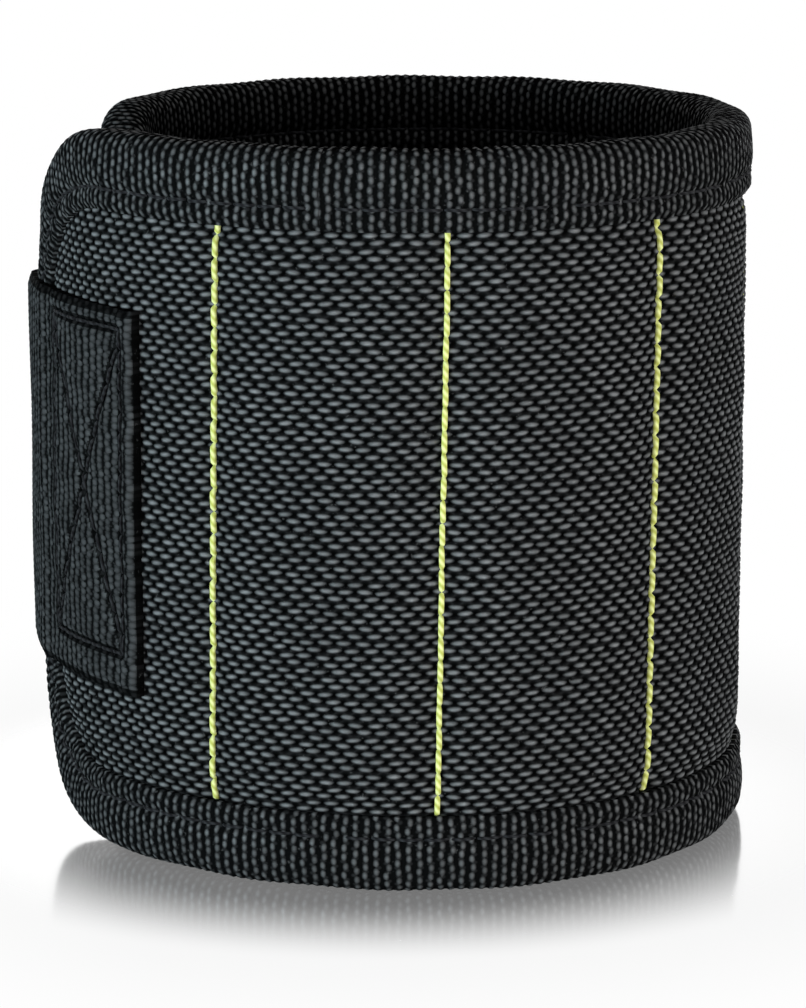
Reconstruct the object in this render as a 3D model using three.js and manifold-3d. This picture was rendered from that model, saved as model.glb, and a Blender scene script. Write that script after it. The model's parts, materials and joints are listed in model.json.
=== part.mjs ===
// A magnetic wristband, curled and closed as it is worn
//
// The band is a sandwich of a woven cover, a foam core that holds disc magnets, and a lining. Folded tape binds
// its edge, and straight seams sew it into pockets. A webbing strap is sewn to the outer end. It runs over the
// tucked inner end and holds there with hook tape on a field of loop tape.
//
// Everything is laid out flat and then wrapped: s runs along the band from the tip of the outer end, n stands
// out from the cover's face, and z runs up the width of the band.

import * as THREE from 'three';
import { mergeVertices } from 'three/addons/utils/BufferGeometryUtils.js';
import Module from 'manifold-3d';

// Driving dimensions in millimetres, with angles in degrees

// The curled band
const BAND_WIDTH = 90; // from rim to rim
const RING_RADIUS = 41; // from the middle of the ring to the cover's face
const OUTER_FLARE = 6.9; // how much wider the first pocket and the outer end curl
const FLARE_ANGLE = 3.5; // the seam where the flare starts, measured from straight ahead
const OUTER_END_LENGTH = 46; // from the first seam to the tip
const POCKET_PITCH = 29.1; // from seam to seam
const POCKETS = 5;
const END_CORNER_RADIUS = 27;
const END_OVERLAP = 19; // how far the inner end reaches under the outer end
const OVERLAP_CLEARANCE = 0.5;
const TUCK_ANGLE = 40; // how far before the outer tip the inner end starts to curl in

// The layers
const COVER_THICKNESS = 0.8;
const LINING_THICKNESS = 0.8;
const LAYER_GAP = 0.15;
const SEAM_PINCH = 0.6; // how deep a seam draws the cover in
const FOLD_GAP = 0.7; // between two pockets, where the band folds at a seam
const FOAM_SEAM_INSET = 1.5;

// The magnets
const MAGNET_DIAMETER = 16;
const MAGNET_THICKNESS = 1.8;
const MAGNET_ROWS = 3;
const MAGNET_EDGE_MARGIN = 3; // from the first and last magnet to the swell beside the tape
const MAGNET_CLEARANCE = 0.15;

// The binding tape
const BINDING_WIDTH = 9.5;
const BINDING_THICKNESS = 0.8;
const BINDING_ROUND = 1.6; // the outer radius of its two folds
const BINDING_PROUD_OUTSIDE = 0.5;
const BINDING_PROUD_INSIDE = 0.3;
const BINDING_EDGE_GAP = 0.3; // from the fold to the raw edge of the layers
const BINDING_RAMP = 3.2; // over which the layers swell up beside the tape

// The seam thread
const THREAD_DIAMETER = 0.5;
const STITCH_LENGTH = 2.8;
const STITCH_RISE = 0.3;

// The strap and its hook and loop tapes
const STRAP_WIDTH = 48;
const STRAP_THICKNESS = 1.4;
const STRAP_SEWN_LENGTH = 35;
const STRAP_HOOKED_LENGTH = 46;
const STRAP_STEP_LENGTH = 2.5; // over which it climbs onto the binding
const STRAP_CORNER_RADIUS = 6;
const STRAP_BEND_GAP = 0.8; // where it bends round the tip of the band
const STRAP_PEEL_GAP = 0.4; // where its hooked end starts to peel
const TAPE_THICKNESS = 1.2;
const TAPE_CORNER_RADIUS = 5;
const HOOK_MARGIN = 3; // inside the edge of the strap
const LOOP_WIDTH = 54;
const LOOP_MARGIN = 5; // from the last seam
const LOOP_END_MARGIN = 6; // from the binding of the inner tip

// How finely curves are cut into flats
const STATION_STEP = 6;
const CORNER_STEPS = 6;
const BINDING_CORNER_STEPS = 7;
const MAGNET_SIDES = 16;
const LEAST_STRIP = 1;

// Sizes that follow from the driving dimensions

const radians = THREE.MathUtils.degToRad;
const MIDDLE = BAND_WIDTH / 2;
const MAGNET_RADIUS = MAGNET_DIAMETER / 2;
const COVER_INNER_RADIUS = RING_RADIUS - COVER_THICKNESS;
const MAGNET_BOW = COVER_INNER_RADIUS - Math.sqrt(COVER_INNER_RADIUS ** 2 - MAGNET_RADIUS ** 2);
const FOAM_THICKNESS = MAGNET_THICKNESS + MAGNET_BOW + 2 * MAGNET_CLEARANCE;
const WALL = COVER_THICKNESS + FOAM_THICKNESS + LINING_THICKNESS + 2 * LAYER_GAP;
const SEAM_RAMP = (POCKET_PITCH - MAGNET_DIAMETER) / 2 - MAGNET_CLEARANCE;
const EDGE_INSET = BINDING_THICKNESS + BINDING_EDGE_GAP;
const BINDING_INSET = BINDING_WIDTH + 2 * LAYER_GAP;
const EDGE_PINCH_OUTSIDE = BINDING_THICKNESS + LAYER_GAP - BINDING_PROUD_OUTSIDE;
const EDGE_PINCH_INSIDE = BINDING_THICKNESS + LAYER_GAP - BINDING_PROUD_INSIDE;

// Plan directions and polar angles, with 0 straight ahead along -Y and turning towards +X
const outward = (angle) => new THREE.Vector2(Math.sin(angle), -Math.cos(angle));
const polarAngle = (point) => Math.atan2(point.x, -point.y);

// The seams are counted from 1, at the outer end, to the last one before the inner end
const seamAt = (number) => OUTER_END_LENGTH + (number - 1) * POCKET_PITCH;
const LAST_SEAM = POCKETS + 1;
const FLARE_SEAM = 2;

// Three arcs in plan, tangent to each other: the flared outer end, the ring and the tucked inner end
const flareAngle = radians(FLARE_ANGLE);
const flare = { radius: RING_RADIUS + OUTER_FLARE, start: -Infinity };
flare.centre = outward(flareAngle).multiplyScalar(-OUTER_FLARE);
flare.angleAt = (s) => flareAngle + (s - seamAt(FLARE_SEAM)) / flare.radius;

const ring = { radius: RING_RADIUS, centre: new THREE.Vector2(), start: seamAt(FLARE_SEAM) };
ring.angleAt = (s) => flareAngle + (s - ring.start) / ring.radius;

const outerTip = outward(flare.angleAt(0)).multiplyScalar(flare.radius).add(flare.centre);
const outerTipAngle = polarAngle(outerTip) + 2 * Math.PI;

// The inner end curls in just enough to lie under the outer end all the way to its own tip
const innerTipAngle = outerTipAngle + END_OVERLAP / RING_RADIUS;
const tuckAngle = outerTipAngle - radians(TUCK_ANGLE);
const towardsInnerTip = outward(innerTipAngle);
const centreAlong = towardsInnerTip.dot(flare.centre);
const flareReach = centreAlong + Math.sqrt(centreAlong ** 2 - flare.centre.lengthSq() + flare.radius ** 2);
const overlapDepth = WALL + BINDING_PROUD_INSIDE + BINDING_PROUD_OUTSIDE + OVERLAP_CLEARANCE;
const innerTipRadius = flareReach - overlapDepth;
const tuckTurn = innerTipAngle - tuckAngle;
const tuckShift =
  (RING_RADIUS ** 2 - innerTipRadius ** 2) / (2 * (RING_RADIUS - innerTipRadius * Math.cos(tuckTurn)));

const tuck = { radius: RING_RADIUS - tuckShift, centre: outward(tuckAngle).multiplyScalar(tuckShift) };
tuck.start = ring.start + (tuckAngle - flareAngle) * ring.radius;
tuck.angleAt = (s) => tuckAngle + (s - tuck.start) / tuck.radius;
const tuckSweep = Math.atan2(
  innerTipRadius * Math.sin(tuckTurn),
  innerTipRadius * Math.cos(tuckTurn) - tuckShift,
);
const BAND_LENGTH = tuck.start + tuckSweep * tuck.radius;

const arcAt = (s) => [tuck, ring, flare].find((arc) => s >= arc.start);

// A flat point of the band, wrapped into its place
function wrap(s, n, z) {
  const arc = arcAt(s);
  const plan = outward(arc.angleAt(s)).multiplyScalar(arc.radius + n).add(arc.centre);
  return new THREE.Vector3(plan.x, plan.y, z);
}

// Geometry helpers

// Values from a to b, both included, at most step apart
function spread(a, b, step) {
  const count = Math.max(1, Math.ceil(Math.abs(b - a) / step));
  return Array.from({ length: count + 1 }, (_, i) => a + ((b - a) * i) / count);
}

// Stations in rising order, without near doubles
function inOrder(stations) {
  const sorted = [...stations].sort((a, b) => a - b);
  return sorted.filter((s, i) => i === 0 || s - sorted[i - 1] > LAYER_GAP);
}

// Distances from an end that follow a rounded corner in equal turns
function cornerDistances(radius, steps) {
  return Array.from({ length: steps + 1 }, (_, i) => radius * (1 - Math.cos((i / steps) * (Math.PI / 2))));
}

// One section of a loft: a closed profile and where its points lie
function section(profile, place) {
  return { profile, points: profile.map(([a, b]) => place(a, b)) };
}

// The triangles that fill a profile, turned the same way as the profile
function capTriangles(profile) {
  const contour = profile.map(([a, b]) => new THREE.Vector2(a, b));
  const turn = Math.sign(THREE.ShapeUtils.area(contour));
  return THREE.ShapeUtils.triangulateShape(contour, []).map(([i, j, k]) => {
    const triangle = [contour[i], contour[j], contour[k]];
    return Math.sign(THREE.ShapeUtils.area(triangle)) === turn ? [i, j, k] : [i, k, j];
  });
}

// A closed solid of triangles, with its faces turned outwards
function solidGeometry(points, triangles) {
  const volume = triangles.reduce((sum, [i, j, k]) => {
    const cross = new THREE.Vector3().crossVectors(points[j], points[k]);
    return sum + points[i].dot(cross);
  }, 0);
  const facing = volume > 0 ? triangles : triangles.map(([i, j, k]) => [i, k, j]);
  const geometry = new THREE.BufferGeometry().setFromPoints(points);
  geometry.setIndex(facing.flat());
  geometry.computeVertexNormals();
  return geometry;
}

// A solid skinned over sections that follow each other, capped at both ends. Each four-cornered facet is split
// along its shorter diagonal, so that two layers that lie on each other are split alike.
function loft(sections) {
  const sides = sections[0].points.length;
  const points = sections.flatMap((each) => each.points);
  const apart = (i, j) => points[i].distanceToSquared(points[j]);
  const triangles = [];
  for (let row = 0; row + 1 < sections.length; row += 1) {
    for (let side = 0; side < sides; side += 1) {
      const here = row * sides + side;
      const next = row * sides + ((side + 1) % sides);
      const above = here + sides;
      const beyond = next + sides;
      if (apart(here, beyond) < apart(next, above)) {
        triangles.push([here, next, beyond], [here, beyond, above]);
      } else {
        triangles.push([here, next, above], [next, beyond, above]);
      }
    }
  }
  const last = (sections.length - 1) * sides;
  capTriangles(sections[0].profile).forEach(([i, j, k]) => triangles.push([i, k, j]));
  capTriangles(sections.at(-1).profile).forEach(([i, j, k]) => triangles.push([last + i, last + j, last + k]));
  return solidGeometry(points, triangles);
}

// Cuts are made on solids whose shared corners are merged
const wasm = await Module();
wasm.setup();

function toSolid(geometry) {
  const bare = geometry.clone();
  bare.deleteAttribute('normal');
  bare.deleteAttribute('uv');
  const merged = mergeVertices(bare);
  const vertProperties = new Float32Array(merged.getAttribute('position').array);
  const triVerts = new Uint32Array(merged.getIndex().array);
  return new wasm.Manifold(new wasm.Mesh({ numProp: 3, vertProperties, triVerts }));
}

function cutAway(geometry, tools) {
  const result = tools.reduce((solid, tool) => solid.subtract(toSolid(tool)), toSolid(geometry)).getMesh();
  const cut = new THREE.BufferGeometry();
  cut.setAttribute('position', new THREE.BufferAttribute(new Float32Array(result.vertProperties), 3));
  cut.setIndex(new THREE.BufferAttribute(new Uint32Array(result.triVerts), 1));
  cut.computeVertexNormals();
  return cut;
}

// Materials

function finish(color, roughness, metalness = 0) {
  return new THREE.MeshStandardMaterial({ color, roughness, metalness, flatShading: true });
}

const wovenNylon = finish(0x1a1c1e, 0.62);
const bindingTape = finish(0x222427, 0.7);
const liningMesh = finish(0x0d0e0f, 0.9);
const foam = finish(0x2c2d30, 0.95);
const nickel = finish(0xc3c6c9, 0.28, 1);
const yellowThread = finish(0xd7db86, 0.6);
const ribbedWebbing = finish(0x2d3134, 0.75);
const hookTape = finish(0x141516, 0.6);
const loopTape = finish(0x1f2123, 0.95);

function piece(name, geometry, material) {
  const mesh = new THREE.Mesh(geometry, material);
  mesh.name = name;
  return mesh;
}

// The layers of the band

// Half the height of a sheet that is inset from the outline of the band, which has two rounded ends
function halfHeight(s, inset) {
  const fromTip = Math.min(s, BAND_LENGTH - s);
  const across = Math.max(END_CORNER_RADIUS - fromTip, 0);
  const corner = Math.max((END_CORNER_RADIUS - inset) ** 2 - across ** 2, 0);
  return MIDDLE - END_CORNER_RADIUS + Math.sqrt(corner);
}

// From 1 at a seam to 0 where the pocket is full
function seamShare(s) {
  const distances = Array.from({ length: LAST_SEAM }, (_, i) => Math.abs(s - seamAt(i + 1)));
  return 1 - THREE.MathUtils.smoothstep(Math.min(...distances), 0, SEAM_RAMP);
}

// From 1 under the binding of a tip to 0 beside it
function tipShare(s) {
  const fromTip = Math.min(s, BAND_LENGTH - s);
  return 1 - THREE.MathUtils.clamp((fromTip - BINDING_INSET) / BINDING_RAMP, 0, 1);
}

// One upright section of a layer. The layer's faces depend on how far it is pinched from outside and inside.
function layerSection(s, faces) {
  const edge = halfHeight(s, EDGE_INSET);
  const rampStart = Math.min(halfHeight(s, BINDING_INSET), edge - LEAST_STRIP);
  const rampEnd = rampStart - BINDING_RAMP;
  const pinchOutside = Math.max(SEAM_PINCH * seamShare(s), EDGE_PINCH_OUTSIDE * tipShare(s));
  const pinchInside = EDGE_PINCH_INSIDE * Math.max(seamShare(s), tipShare(s));
  const bound = faces(EDGE_PINCH_OUTSIDE, EDGE_PINCH_INSIDE);
  const open = faces(pinchOutside, pinchInside);
  const upper = [[rampEnd, open], [rampStart, bound], [edge, bound]];
  const lower = upper.map(([height, face]) => [-height, face]).reverse();
  const rising = [...lower, ...upper];
  const outside = rising.map(([height, face]) => [face.outer, MIDDLE + height]);
  const inside = rising.map(([height, face]) => [face.inner, MIDDLE + height]).reverse();
  return section([...outside, ...inside], (n, z) => wrap(s, n, z));
}

const coverFaces = (outside) => ({ outer: -outside, inner: -outside - COVER_THICKNESS });
const liningFaces = (_, inside) => ({ outer: -WALL + inside + LINING_THICKNESS, inner: -WALL + inside });
const foamFaces = (outside, inside) => ({
  outer: coverFaces(outside).inner - LAYER_GAP,
  inner: liningFaces(outside, inside).outer + LAYER_GAP,
});

// The stations of a panel, close together where a seam or a rounded end shapes it
function seamStations(seam, direction) {
  return [FOLD_GAP / 2, SEAM_RAMP / 3, SEAM_RAMP].map((distance) => seam + direction * distance);
}

function tipStations(tip, direction) {
  const around = cornerDistances(END_CORNER_RADIUS - EDGE_INSET, CORNER_STEPS);
  const beside = [BINDING_INSET, BINDING_INSET + BINDING_RAMP];
  return [...around.map((distance) => EDGE_INSET + distance), ...beside].map((d) => tip + direction * d);
}

function panelStations(panel) {
  const first = panel.index === 0 ? tipStations(0, 1) : seamStations(seamAt(panel.index), 1);
  const lastSeam = seamStations(seamAt(panel.index + 1), -1);
  const last = panel.index === POCKETS + 1 ? tipStations(BAND_LENGTH, -1) : lastSeam;
  const between = spread(Math.max(...first), Math.min(...last), STATION_STEP);
  return inOrder([...first, ...between, ...last]);
}

// The panels in order: the outer end, the pockets and the inner end that carries the loop tape
const panels = Array.from({ length: POCKETS + 2 }, (_, index) => ({ index, name: `pocket_${index}` }));
panels[0].name = 'outer_end';
panels[POCKETS + 1].name = 'loop_end';
panels.forEach((panel) => {
  panel.stations = panelStations(panel);
  panel.group = new THREE.Group();
  panel.group.name = panel.name;
});

function layer(panel, faces, inset) {
  const from = panel.stations[0] + inset;
  const to = panel.stations.at(-1) - inset;
  const inside = panel.stations.filter((s) => s > from && s < to);
  return loft(inOrder([from, ...inside, to]).map((s) => layerSection(s, faces)));
}

// The magnets

// The rows, spread evenly between the bindings from the top one down
const topRow = MIDDLE - BINDING_INSET - BINDING_RAMP - MAGNET_EDGE_MARGIN - MAGNET_RADIUS;
const rowHeights = Array.from(
  { length: MAGNET_ROWS },
  (_, row) => MIDDLE + topRow * (1 - (2 * row) / (MAGNET_ROWS - 1)),
);

// A disc that stands upright, square to the band at the middle of a pocket
function uprightDisc(panel, height, radius, thickness) {
  const s = (seamAt(panel.index) + seamAt(panel.index + 1)) / 2;
  const arc = arcAt(s);
  const direction = outward(arc.angleAt(s));
  const coverInside = arc.radius - COVER_THICKNESS;
  const outerFace = Math.sqrt(coverInside ** 2 - MAGNET_RADIUS ** 2) - MAGNET_CLEARANCE;
  const plan = direction.clone().multiplyScalar(outerFace - MAGNET_THICKNESS / 2).add(arc.centre);
  const disc = new THREE.Mesh(new THREE.CylinderGeometry(radius, radius, thickness, MAGNET_SIDES), nickel);
  const axis = new THREE.Vector3(direction.x, direction.y, 0);
  disc.quaternion.setFromUnitVectors(new THREE.Vector3(0, 1, 0), axis);
  disc.position.set(plan.x, plan.y, height);
  disc.updateMatrix();
  return disc;
}

function magnetSeat(panel, height) {
  const seat = uprightDisc(panel, height, MAGNET_RADIUS + MAGNET_CLEARANCE, 2 * WALL);
  return seat.geometry.applyMatrix4(seat.matrix);
}

panels.forEach((panel) => {
  const isPocket = panel.index > 0 && panel.index <= POCKETS;
  const core = layer(panel, foamFaces, FOAM_SEAM_INSET - FOLD_GAP / 2);
  const seats = isPocket ? rowHeights.map((height) => magnetSeat(panel, height)) : [];
  panel.group.add(
    piece(`cover_${panel.name}`, layer(panel, coverFaces, 0), wovenNylon),
    piece(`foam_${panel.name}`, seats.length ? cutAway(core, seats) : core, foam),
    piece(`lining_${panel.name}`, layer(panel, liningFaces, 0), liningMesh),
  );
  seats.forEach((_, row) => {
    const magnet = uprightDisc(panel, rowHeights[row], MAGNET_RADIUS, MAGNET_THICKNESS);
    magnet.name = `magnet_${panel.index}_${row + 1}`;
    panel.group.add(magnet);
  });
});

// The binding

// The folded tape in section: depth is measured in from the outline of the band
function bindingProfile(legSteps) {
  const outer = BINDING_PROUD_OUTSIDE;
  const inner = -WALL - BINDING_PROUD_INSIDE;
  const bevel = BINDING_ROUND * (1 - Math.SQRT1_2);
  const outerLeg = spread(BINDING_WIDTH, BINDING_ROUND, BINDING_WIDTH / legSteps);
  const innerLeg = spread(BINDING_WIDTH, BINDING_THICKNESS, BINDING_WIDTH / legSteps);
  const backOutside = outerLeg.map((depth) => [depth, outer]);
  const foldOutside = [[bevel, outer - bevel], [0, outer - BINDING_ROUND]];
  const foldInside = [[0, inner + BINDING_ROUND], [bevel, inner + bevel]];
  const backInside = outerLeg.map((depth) => [depth, inner]).reverse();
  const liningSide = innerLeg.map((depth) => [depth, inner + BINDING_THICKNESS]);
  const coverSide = innerLeg.map((depth) => [depth, outer - BINDING_THICKNESS]).reverse();
  return [...backOutside, ...foldOutside, ...foldInside, ...backInside, ...liningSide, ...coverSide];
}

// Tape along a route of points on the outline, each with its direction into the band
function bind(route, legSteps) {
  const profile = bindingProfile(legSteps);
  return loft(route.map(({ s, z, into }) => (
    section(profile, (depth, n) => wrap(s + into.x * depth, n, z + into.y * depth))
  )));
}

const STRAIGHT_LEG_STEPS = 1;
const CURVED_LEG_STEPS = 2;
const downwards = new THREE.Vector2(0, -1);
const upwards = new THREE.Vector2(0, 1);

// The route round a rounded end, from its seam along the top, round the tip and back along the bottom
function endRoute(panel, tip, direction) {
  const straight = panel.stations.filter((s) => Math.abs(s - tip) > END_CORNER_RADIUS);
  const fromSeam = direction > 0 ? straight.reverse() : straight;
  const top = fromSeam.map((s) => ({ s, z: BAND_WIDTH, into: downwards }));
  const bend = spread(0, Math.PI / 2, Math.PI / 2 / BINDING_CORNER_STEPS).map((turn) => {
    const into = new THREE.Vector2(direction * Math.sin(turn), -Math.cos(turn));
    const s = tip + direction * END_CORNER_RADIUS - into.x * END_CORNER_RADIUS;
    return { s, z: BAND_WIDTH - END_CORNER_RADIUS - into.y * END_CORNER_RADIUS, into };
  });
  const upper = [...top, ...bend];
  const mirrored = upper.map(({ s, z, into }) => (
    { s, z: BAND_WIDTH - z, into: new THREE.Vector2(into.x, -into.y) }
  ));
  return [...upper, ...mirrored.reverse()];
}

panels.slice(1, -1).forEach((panel) => {
  const top = panel.stations.map((s) => ({ s, z: BAND_WIDTH, into: downwards }));
  const bottom = panel.stations.map((s) => ({ s, z: 0, into: upwards }));
  panel.group.add(
    piece(`binding_top_${panel.index}`, bind(top, STRAIGHT_LEG_STEPS), bindingTape),
    piece(`binding_bottom_${panel.index}`, bind(bottom, STRAIGHT_LEG_STEPS), bindingTape),
  );
});

const outerEnd = panels[0];
const loopEnd = panels.at(-1);
const outerRoute = endRoute(outerEnd, 0, 1);
const innerRoute = endRoute(loopEnd, BAND_LENGTH, -1);
outerEnd.group.add(piece('binding_outer_end', bind(outerRoute, CURVED_LEG_STEPS), bindingTape));
loopEnd.group.add(piece('binding_loop_end', bind(innerRoute, CURVED_LEG_STEPS), bindingTape));

// The seam threads

// A thread that rises between the needle holes, laid in the groove of its seam from binding to binding
function seamThread(number) {
  const s = seamAt(number);
  const from = BINDING_INSET;
  const to = BAND_WIDTH - BINDING_INSET;
  const radius = THREAD_DIAMETER / 2;
  const profile = [[-radius, -radius], [radius, -radius], [0, radius]];
  const halfStitches = 2 * Math.round((to - from) / STITCH_LENGTH);
  const heights = Array.from({ length: halfStitches + 1 }, (_, i) => from + ((to - from) * i) / halfStitches);
  return loft(heights.map((z, i) => {
    const lift = -SEAM_PINCH + radius + (i % 2) * STITCH_RISE;
    return section(profile, (across, up) => wrap(s + across, lift + up, z));
  }));
}

for (let number = 1; number <= LAST_SEAM; number += 1) {
  panels[number].group.add(piece(`seam_thread_${number}`, seamThread(number), yellowThread));
}

// The strap

// Half the height of a plate with rounded corners at the end or ends that are named
function roundedHalf(half, corner, distance) {
  const across = Math.max(corner - distance, 0);
  return half - corner + Math.sqrt(corner ** 2 - across ** 2);
}

// A plate of even thickness that follows a path: under(s) is its lower face, and half(s) half its height
function plate(stations, under, thickness, half, place) {
  return loft(stations.map((s) => {
    const low = under(s);
    const high = low + thickness;
    const tall = half(s);
    const profile = [[low, -tall], [high, -tall], [high, tall], [low, tall]];
    return section(profile, (n, height) => place(s, n, MIDDLE + height));
  }));
}

const strapHalf = STRAP_WIDTH / 2;
const strapOnBinding = BINDING_PROUD_OUTSIDE + LAYER_GAP;

// Where the binding starts under the edges of the strap, at the rounded corners of the band
const strapPastCorner = Math.max(END_CORNER_RADIUS - (MIDDLE - strapHalf), 0);
const bindingTurn = Math.sqrt((END_CORNER_RADIUS - BINDING_INSET) ** 2 - strapPastCorner ** 2);
const bindingUnderStrap = END_CORNER_RADIUS - bindingTurn;

// The sewn end lies on the cover and climbs onto the binding before the tip
function strapUnderside(s) {
  const beforeBinding = bindingUnderStrap + STRAP_STEP_LENGTH - s;
  const climbed = THREE.MathUtils.clamp(beforeBinding / STRAP_STEP_LENGTH, 0, 1);
  return THREE.MathUtils.lerp(LAYER_GAP, strapOnBinding, climbed);
}

const sewnFrom = STRAP_BEND_GAP / 2;
const sewnSteps = [sewnFrom, bindingUnderStrap, bindingUnderStrap + STRAP_STEP_LENGTH, STRAP_SEWN_LENGTH];
const sewnStations = inOrder([
  ...sewnSteps,
  ...outerEnd.stations.filter((s) => s > sewnFrom && s < STRAP_SEWN_LENGTH),
]);
const sewnStrap = plate(sewnStations, strapUnderside, STRAP_THICKNESS, () => strapHalf, wrap);
outerEnd.group.add(piece('strap_sewn_end', sewnStrap, ribbedWebbing));

// Past the tip it runs straight to where it touches a circle just outside the two tapes
const strapMiddle = STRAP_THICKNESS / 2;
const bendAt = wrap(0, strapOnBinding + strapMiddle, 0);
const bendRadius = Math.hypot(bendAt.x, bendAt.y);
const hookInside = RING_RADIUS + 2 * LAYER_GAP + TAPE_THICKNESS;
const hookedInside = hookInside + TAPE_THICKNESS + LAYER_GAP;
const hookedRadius = hookedInside + strapMiddle;
const peelAngle = polarAngle(bendAt) - Math.acos(hookedRadius / bendRadius);
const peelNormal = outward(peelAngle);
const peelAt = peelNormal.clone().multiplyScalar(hookedRadius);
const spanLength = Math.sqrt(bendRadius ** 2 - hookedRadius ** 2);
const alongSpan = new THREE.Vector2(-Math.cos(peelAngle), -Math.sin(peelAngle));

function onSpan(distance, n, z) {
  const plan = new THREE.Vector2(bendAt.x, bendAt.y);
  plan.addScaledVector(alongSpan, distance).addScaledVector(peelNormal, n - strapMiddle);
  return new THREE.Vector3(plan.x, plan.y, z);
}

// The hooked end follows that circle
function onHookedCircle(distance, n, z) {
  const plan = outward(peelAngle - distance / hookedRadius).multiplyScalar(hookedInside + n);
  return new THREE.Vector3(plan.x, plan.y, z);
}

const strapSpan = new THREE.Group();
const strapTip = new THREE.Group();
strapSpan.name = 'strap_span';
strapTip.name = 'strap_tip';

const spanStations = [STRAP_BEND_GAP / 2, spanLength - STRAP_PEEL_GAP / 2];
strapSpan.add(piece(
  'strap_span',
  plate(spanStations, () => 0, STRAP_THICKNESS, () => strapHalf, onSpan),
  ribbedWebbing,
));

const tipDistances = cornerDistances(STRAP_CORNER_RADIUS, CORNER_STEPS).map((d) => STRAP_HOOKED_LENGTH - d);
const straightTip = spread(STRAP_PEEL_GAP / 2, STRAP_HOOKED_LENGTH - STRAP_CORNER_RADIUS, STATION_STEP);
const tipHalf = (s) => roundedHalf(strapHalf, STRAP_CORNER_RADIUS, STRAP_HOOKED_LENGTH - s);
strapTip.add(piece(
  'strap_tip',
  plate(inOrder([...straightTip, ...tipDistances]), () => 0, STRAP_THICKNESS, tipHalf, onHookedCircle),
  ribbedWebbing,
));

// The hook tape under the tip, and the loop tape that it holds on to

// A tape with four rounded corners, from one distance to another along its path
function tape(from, to, half, under, place) {
  const corners = cornerDistances(TAPE_CORNER_RADIUS, CORNER_STEPS);
  const straight = spread(from + TAPE_CORNER_RADIUS, to - TAPE_CORNER_RADIUS, STATION_STEP);
  const stations = inOrder([...corners.map((d) => from + d), ...straight, ...corners.map((d) => to - d)]);
  const height = (s) => roundedHalf(half, TAPE_CORNER_RADIUS, Math.min(s - from, to - s));
  return plate(stations, () => under, TAPE_THICKNESS, height, place);
}

const hookUnder = hookInside - hookedInside;
const hookTo = STRAP_HOOKED_LENGTH - HOOK_MARGIN;
const hooks = tape(HOOK_MARGIN, hookTo, strapHalf - HOOK_MARGIN, hookUnder, onHookedCircle);
strapTip.add(piece('hook_tape', hooks, hookTape));

const loopFrom = seamAt(LAST_SEAM) + LOOP_MARGIN;
const loopTo = BAND_LENGTH - BINDING_INSET - LOOP_END_MARGIN;
const loops = tape(loopFrom, loopTo, LOOP_WIDTH / 2, LAYER_GAP, wrap);
loopEnd.group.add(piece('loop_tape', loops, loopTape));

// The assembly, which stands on its lower rim over the middle of its outline

const wristband = new THREE.Group();
wristband.name = 'magnetic_wristband';
wristband.add(...panels.map((panel) => panel.group), strapSpan, strapTip);

const outline = new THREE.Box3().setFromObject(wristband);
const middle = outline.getCenter(new THREE.Vector3());
wristband.position.set(-middle.x, -middle.y, -outline.min.z);

// The upright hinge lines, in the frame of the finished part: one at each seam and two on the strap
const peelLine = peelNormal.clone().multiplyScalar(hookedRadius + strapMiddle + LAYER_GAP);
const hingeLines = {
  strap_bend: bendAt.clone(),
  strap_peel: new THREE.Vector3(peelLine.x, peelLine.y, 0),
};
for (let number = 1; number <= LAST_SEAM; number += 1) {
  hingeLines[`seam_fold_${number}`] = wrap(seamAt(number), BINDING_PROUD_OUTSIDE, 0);
}
Object.values(hingeLines).forEach((point) => point.add(wristband.position).setZ(MIDDLE));
wristband.userData.hingeLines = hingeLines;
wristband.userData.ringCentre = new THREE.Vector3(0, 0, MIDDLE).add(wristband.position);

export default wristband;
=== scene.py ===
# %% [markdown]
# # A magnetic wristband, from flat cloth to a closed ring
#
# The real band is cut flat, sewn flat and then curled round a wrist. This lesson follows the same order:
# every soft piece is laid out flat in millimetres, gets its weave, its pinched seams and its stitches there,
# and is then wrapped onto the ring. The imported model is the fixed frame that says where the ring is.

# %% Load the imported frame
import json
import math

import bmesh
import bpy
import numpy as np
from mathutils import Matrix, Vector


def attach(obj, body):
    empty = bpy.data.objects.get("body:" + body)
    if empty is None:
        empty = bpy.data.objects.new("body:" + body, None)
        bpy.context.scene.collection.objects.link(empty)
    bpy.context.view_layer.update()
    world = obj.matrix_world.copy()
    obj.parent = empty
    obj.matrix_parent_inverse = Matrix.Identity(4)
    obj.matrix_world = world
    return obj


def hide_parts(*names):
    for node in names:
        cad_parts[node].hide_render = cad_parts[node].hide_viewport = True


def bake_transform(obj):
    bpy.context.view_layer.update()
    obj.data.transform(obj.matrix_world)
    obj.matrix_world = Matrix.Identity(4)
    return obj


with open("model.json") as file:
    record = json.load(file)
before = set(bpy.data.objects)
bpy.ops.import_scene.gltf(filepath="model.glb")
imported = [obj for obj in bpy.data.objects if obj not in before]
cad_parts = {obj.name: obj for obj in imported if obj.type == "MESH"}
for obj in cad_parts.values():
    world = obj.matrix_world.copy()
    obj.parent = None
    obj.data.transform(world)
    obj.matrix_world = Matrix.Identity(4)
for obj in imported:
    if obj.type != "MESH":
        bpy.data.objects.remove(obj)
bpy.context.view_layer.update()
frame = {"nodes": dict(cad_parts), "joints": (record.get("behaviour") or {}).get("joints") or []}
scene = bpy.context.scene
scene.view_settings.view_transform = "Standard"
MM = 0.001

# %% [markdown]
# ## The camera
#
# The view is a long lens from a little above the rim, so that the far rim shows behind the near one and the
# upright seams stay nearly parallel. The camera comes first, because everything after it is judged
# through it.

# %% Set up the camera
CAMERA_PLACE = (2.13, -519.97, 151.54)
CAMERA_PITCH = 12.23
CAMERA_LENS = 147.2

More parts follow.
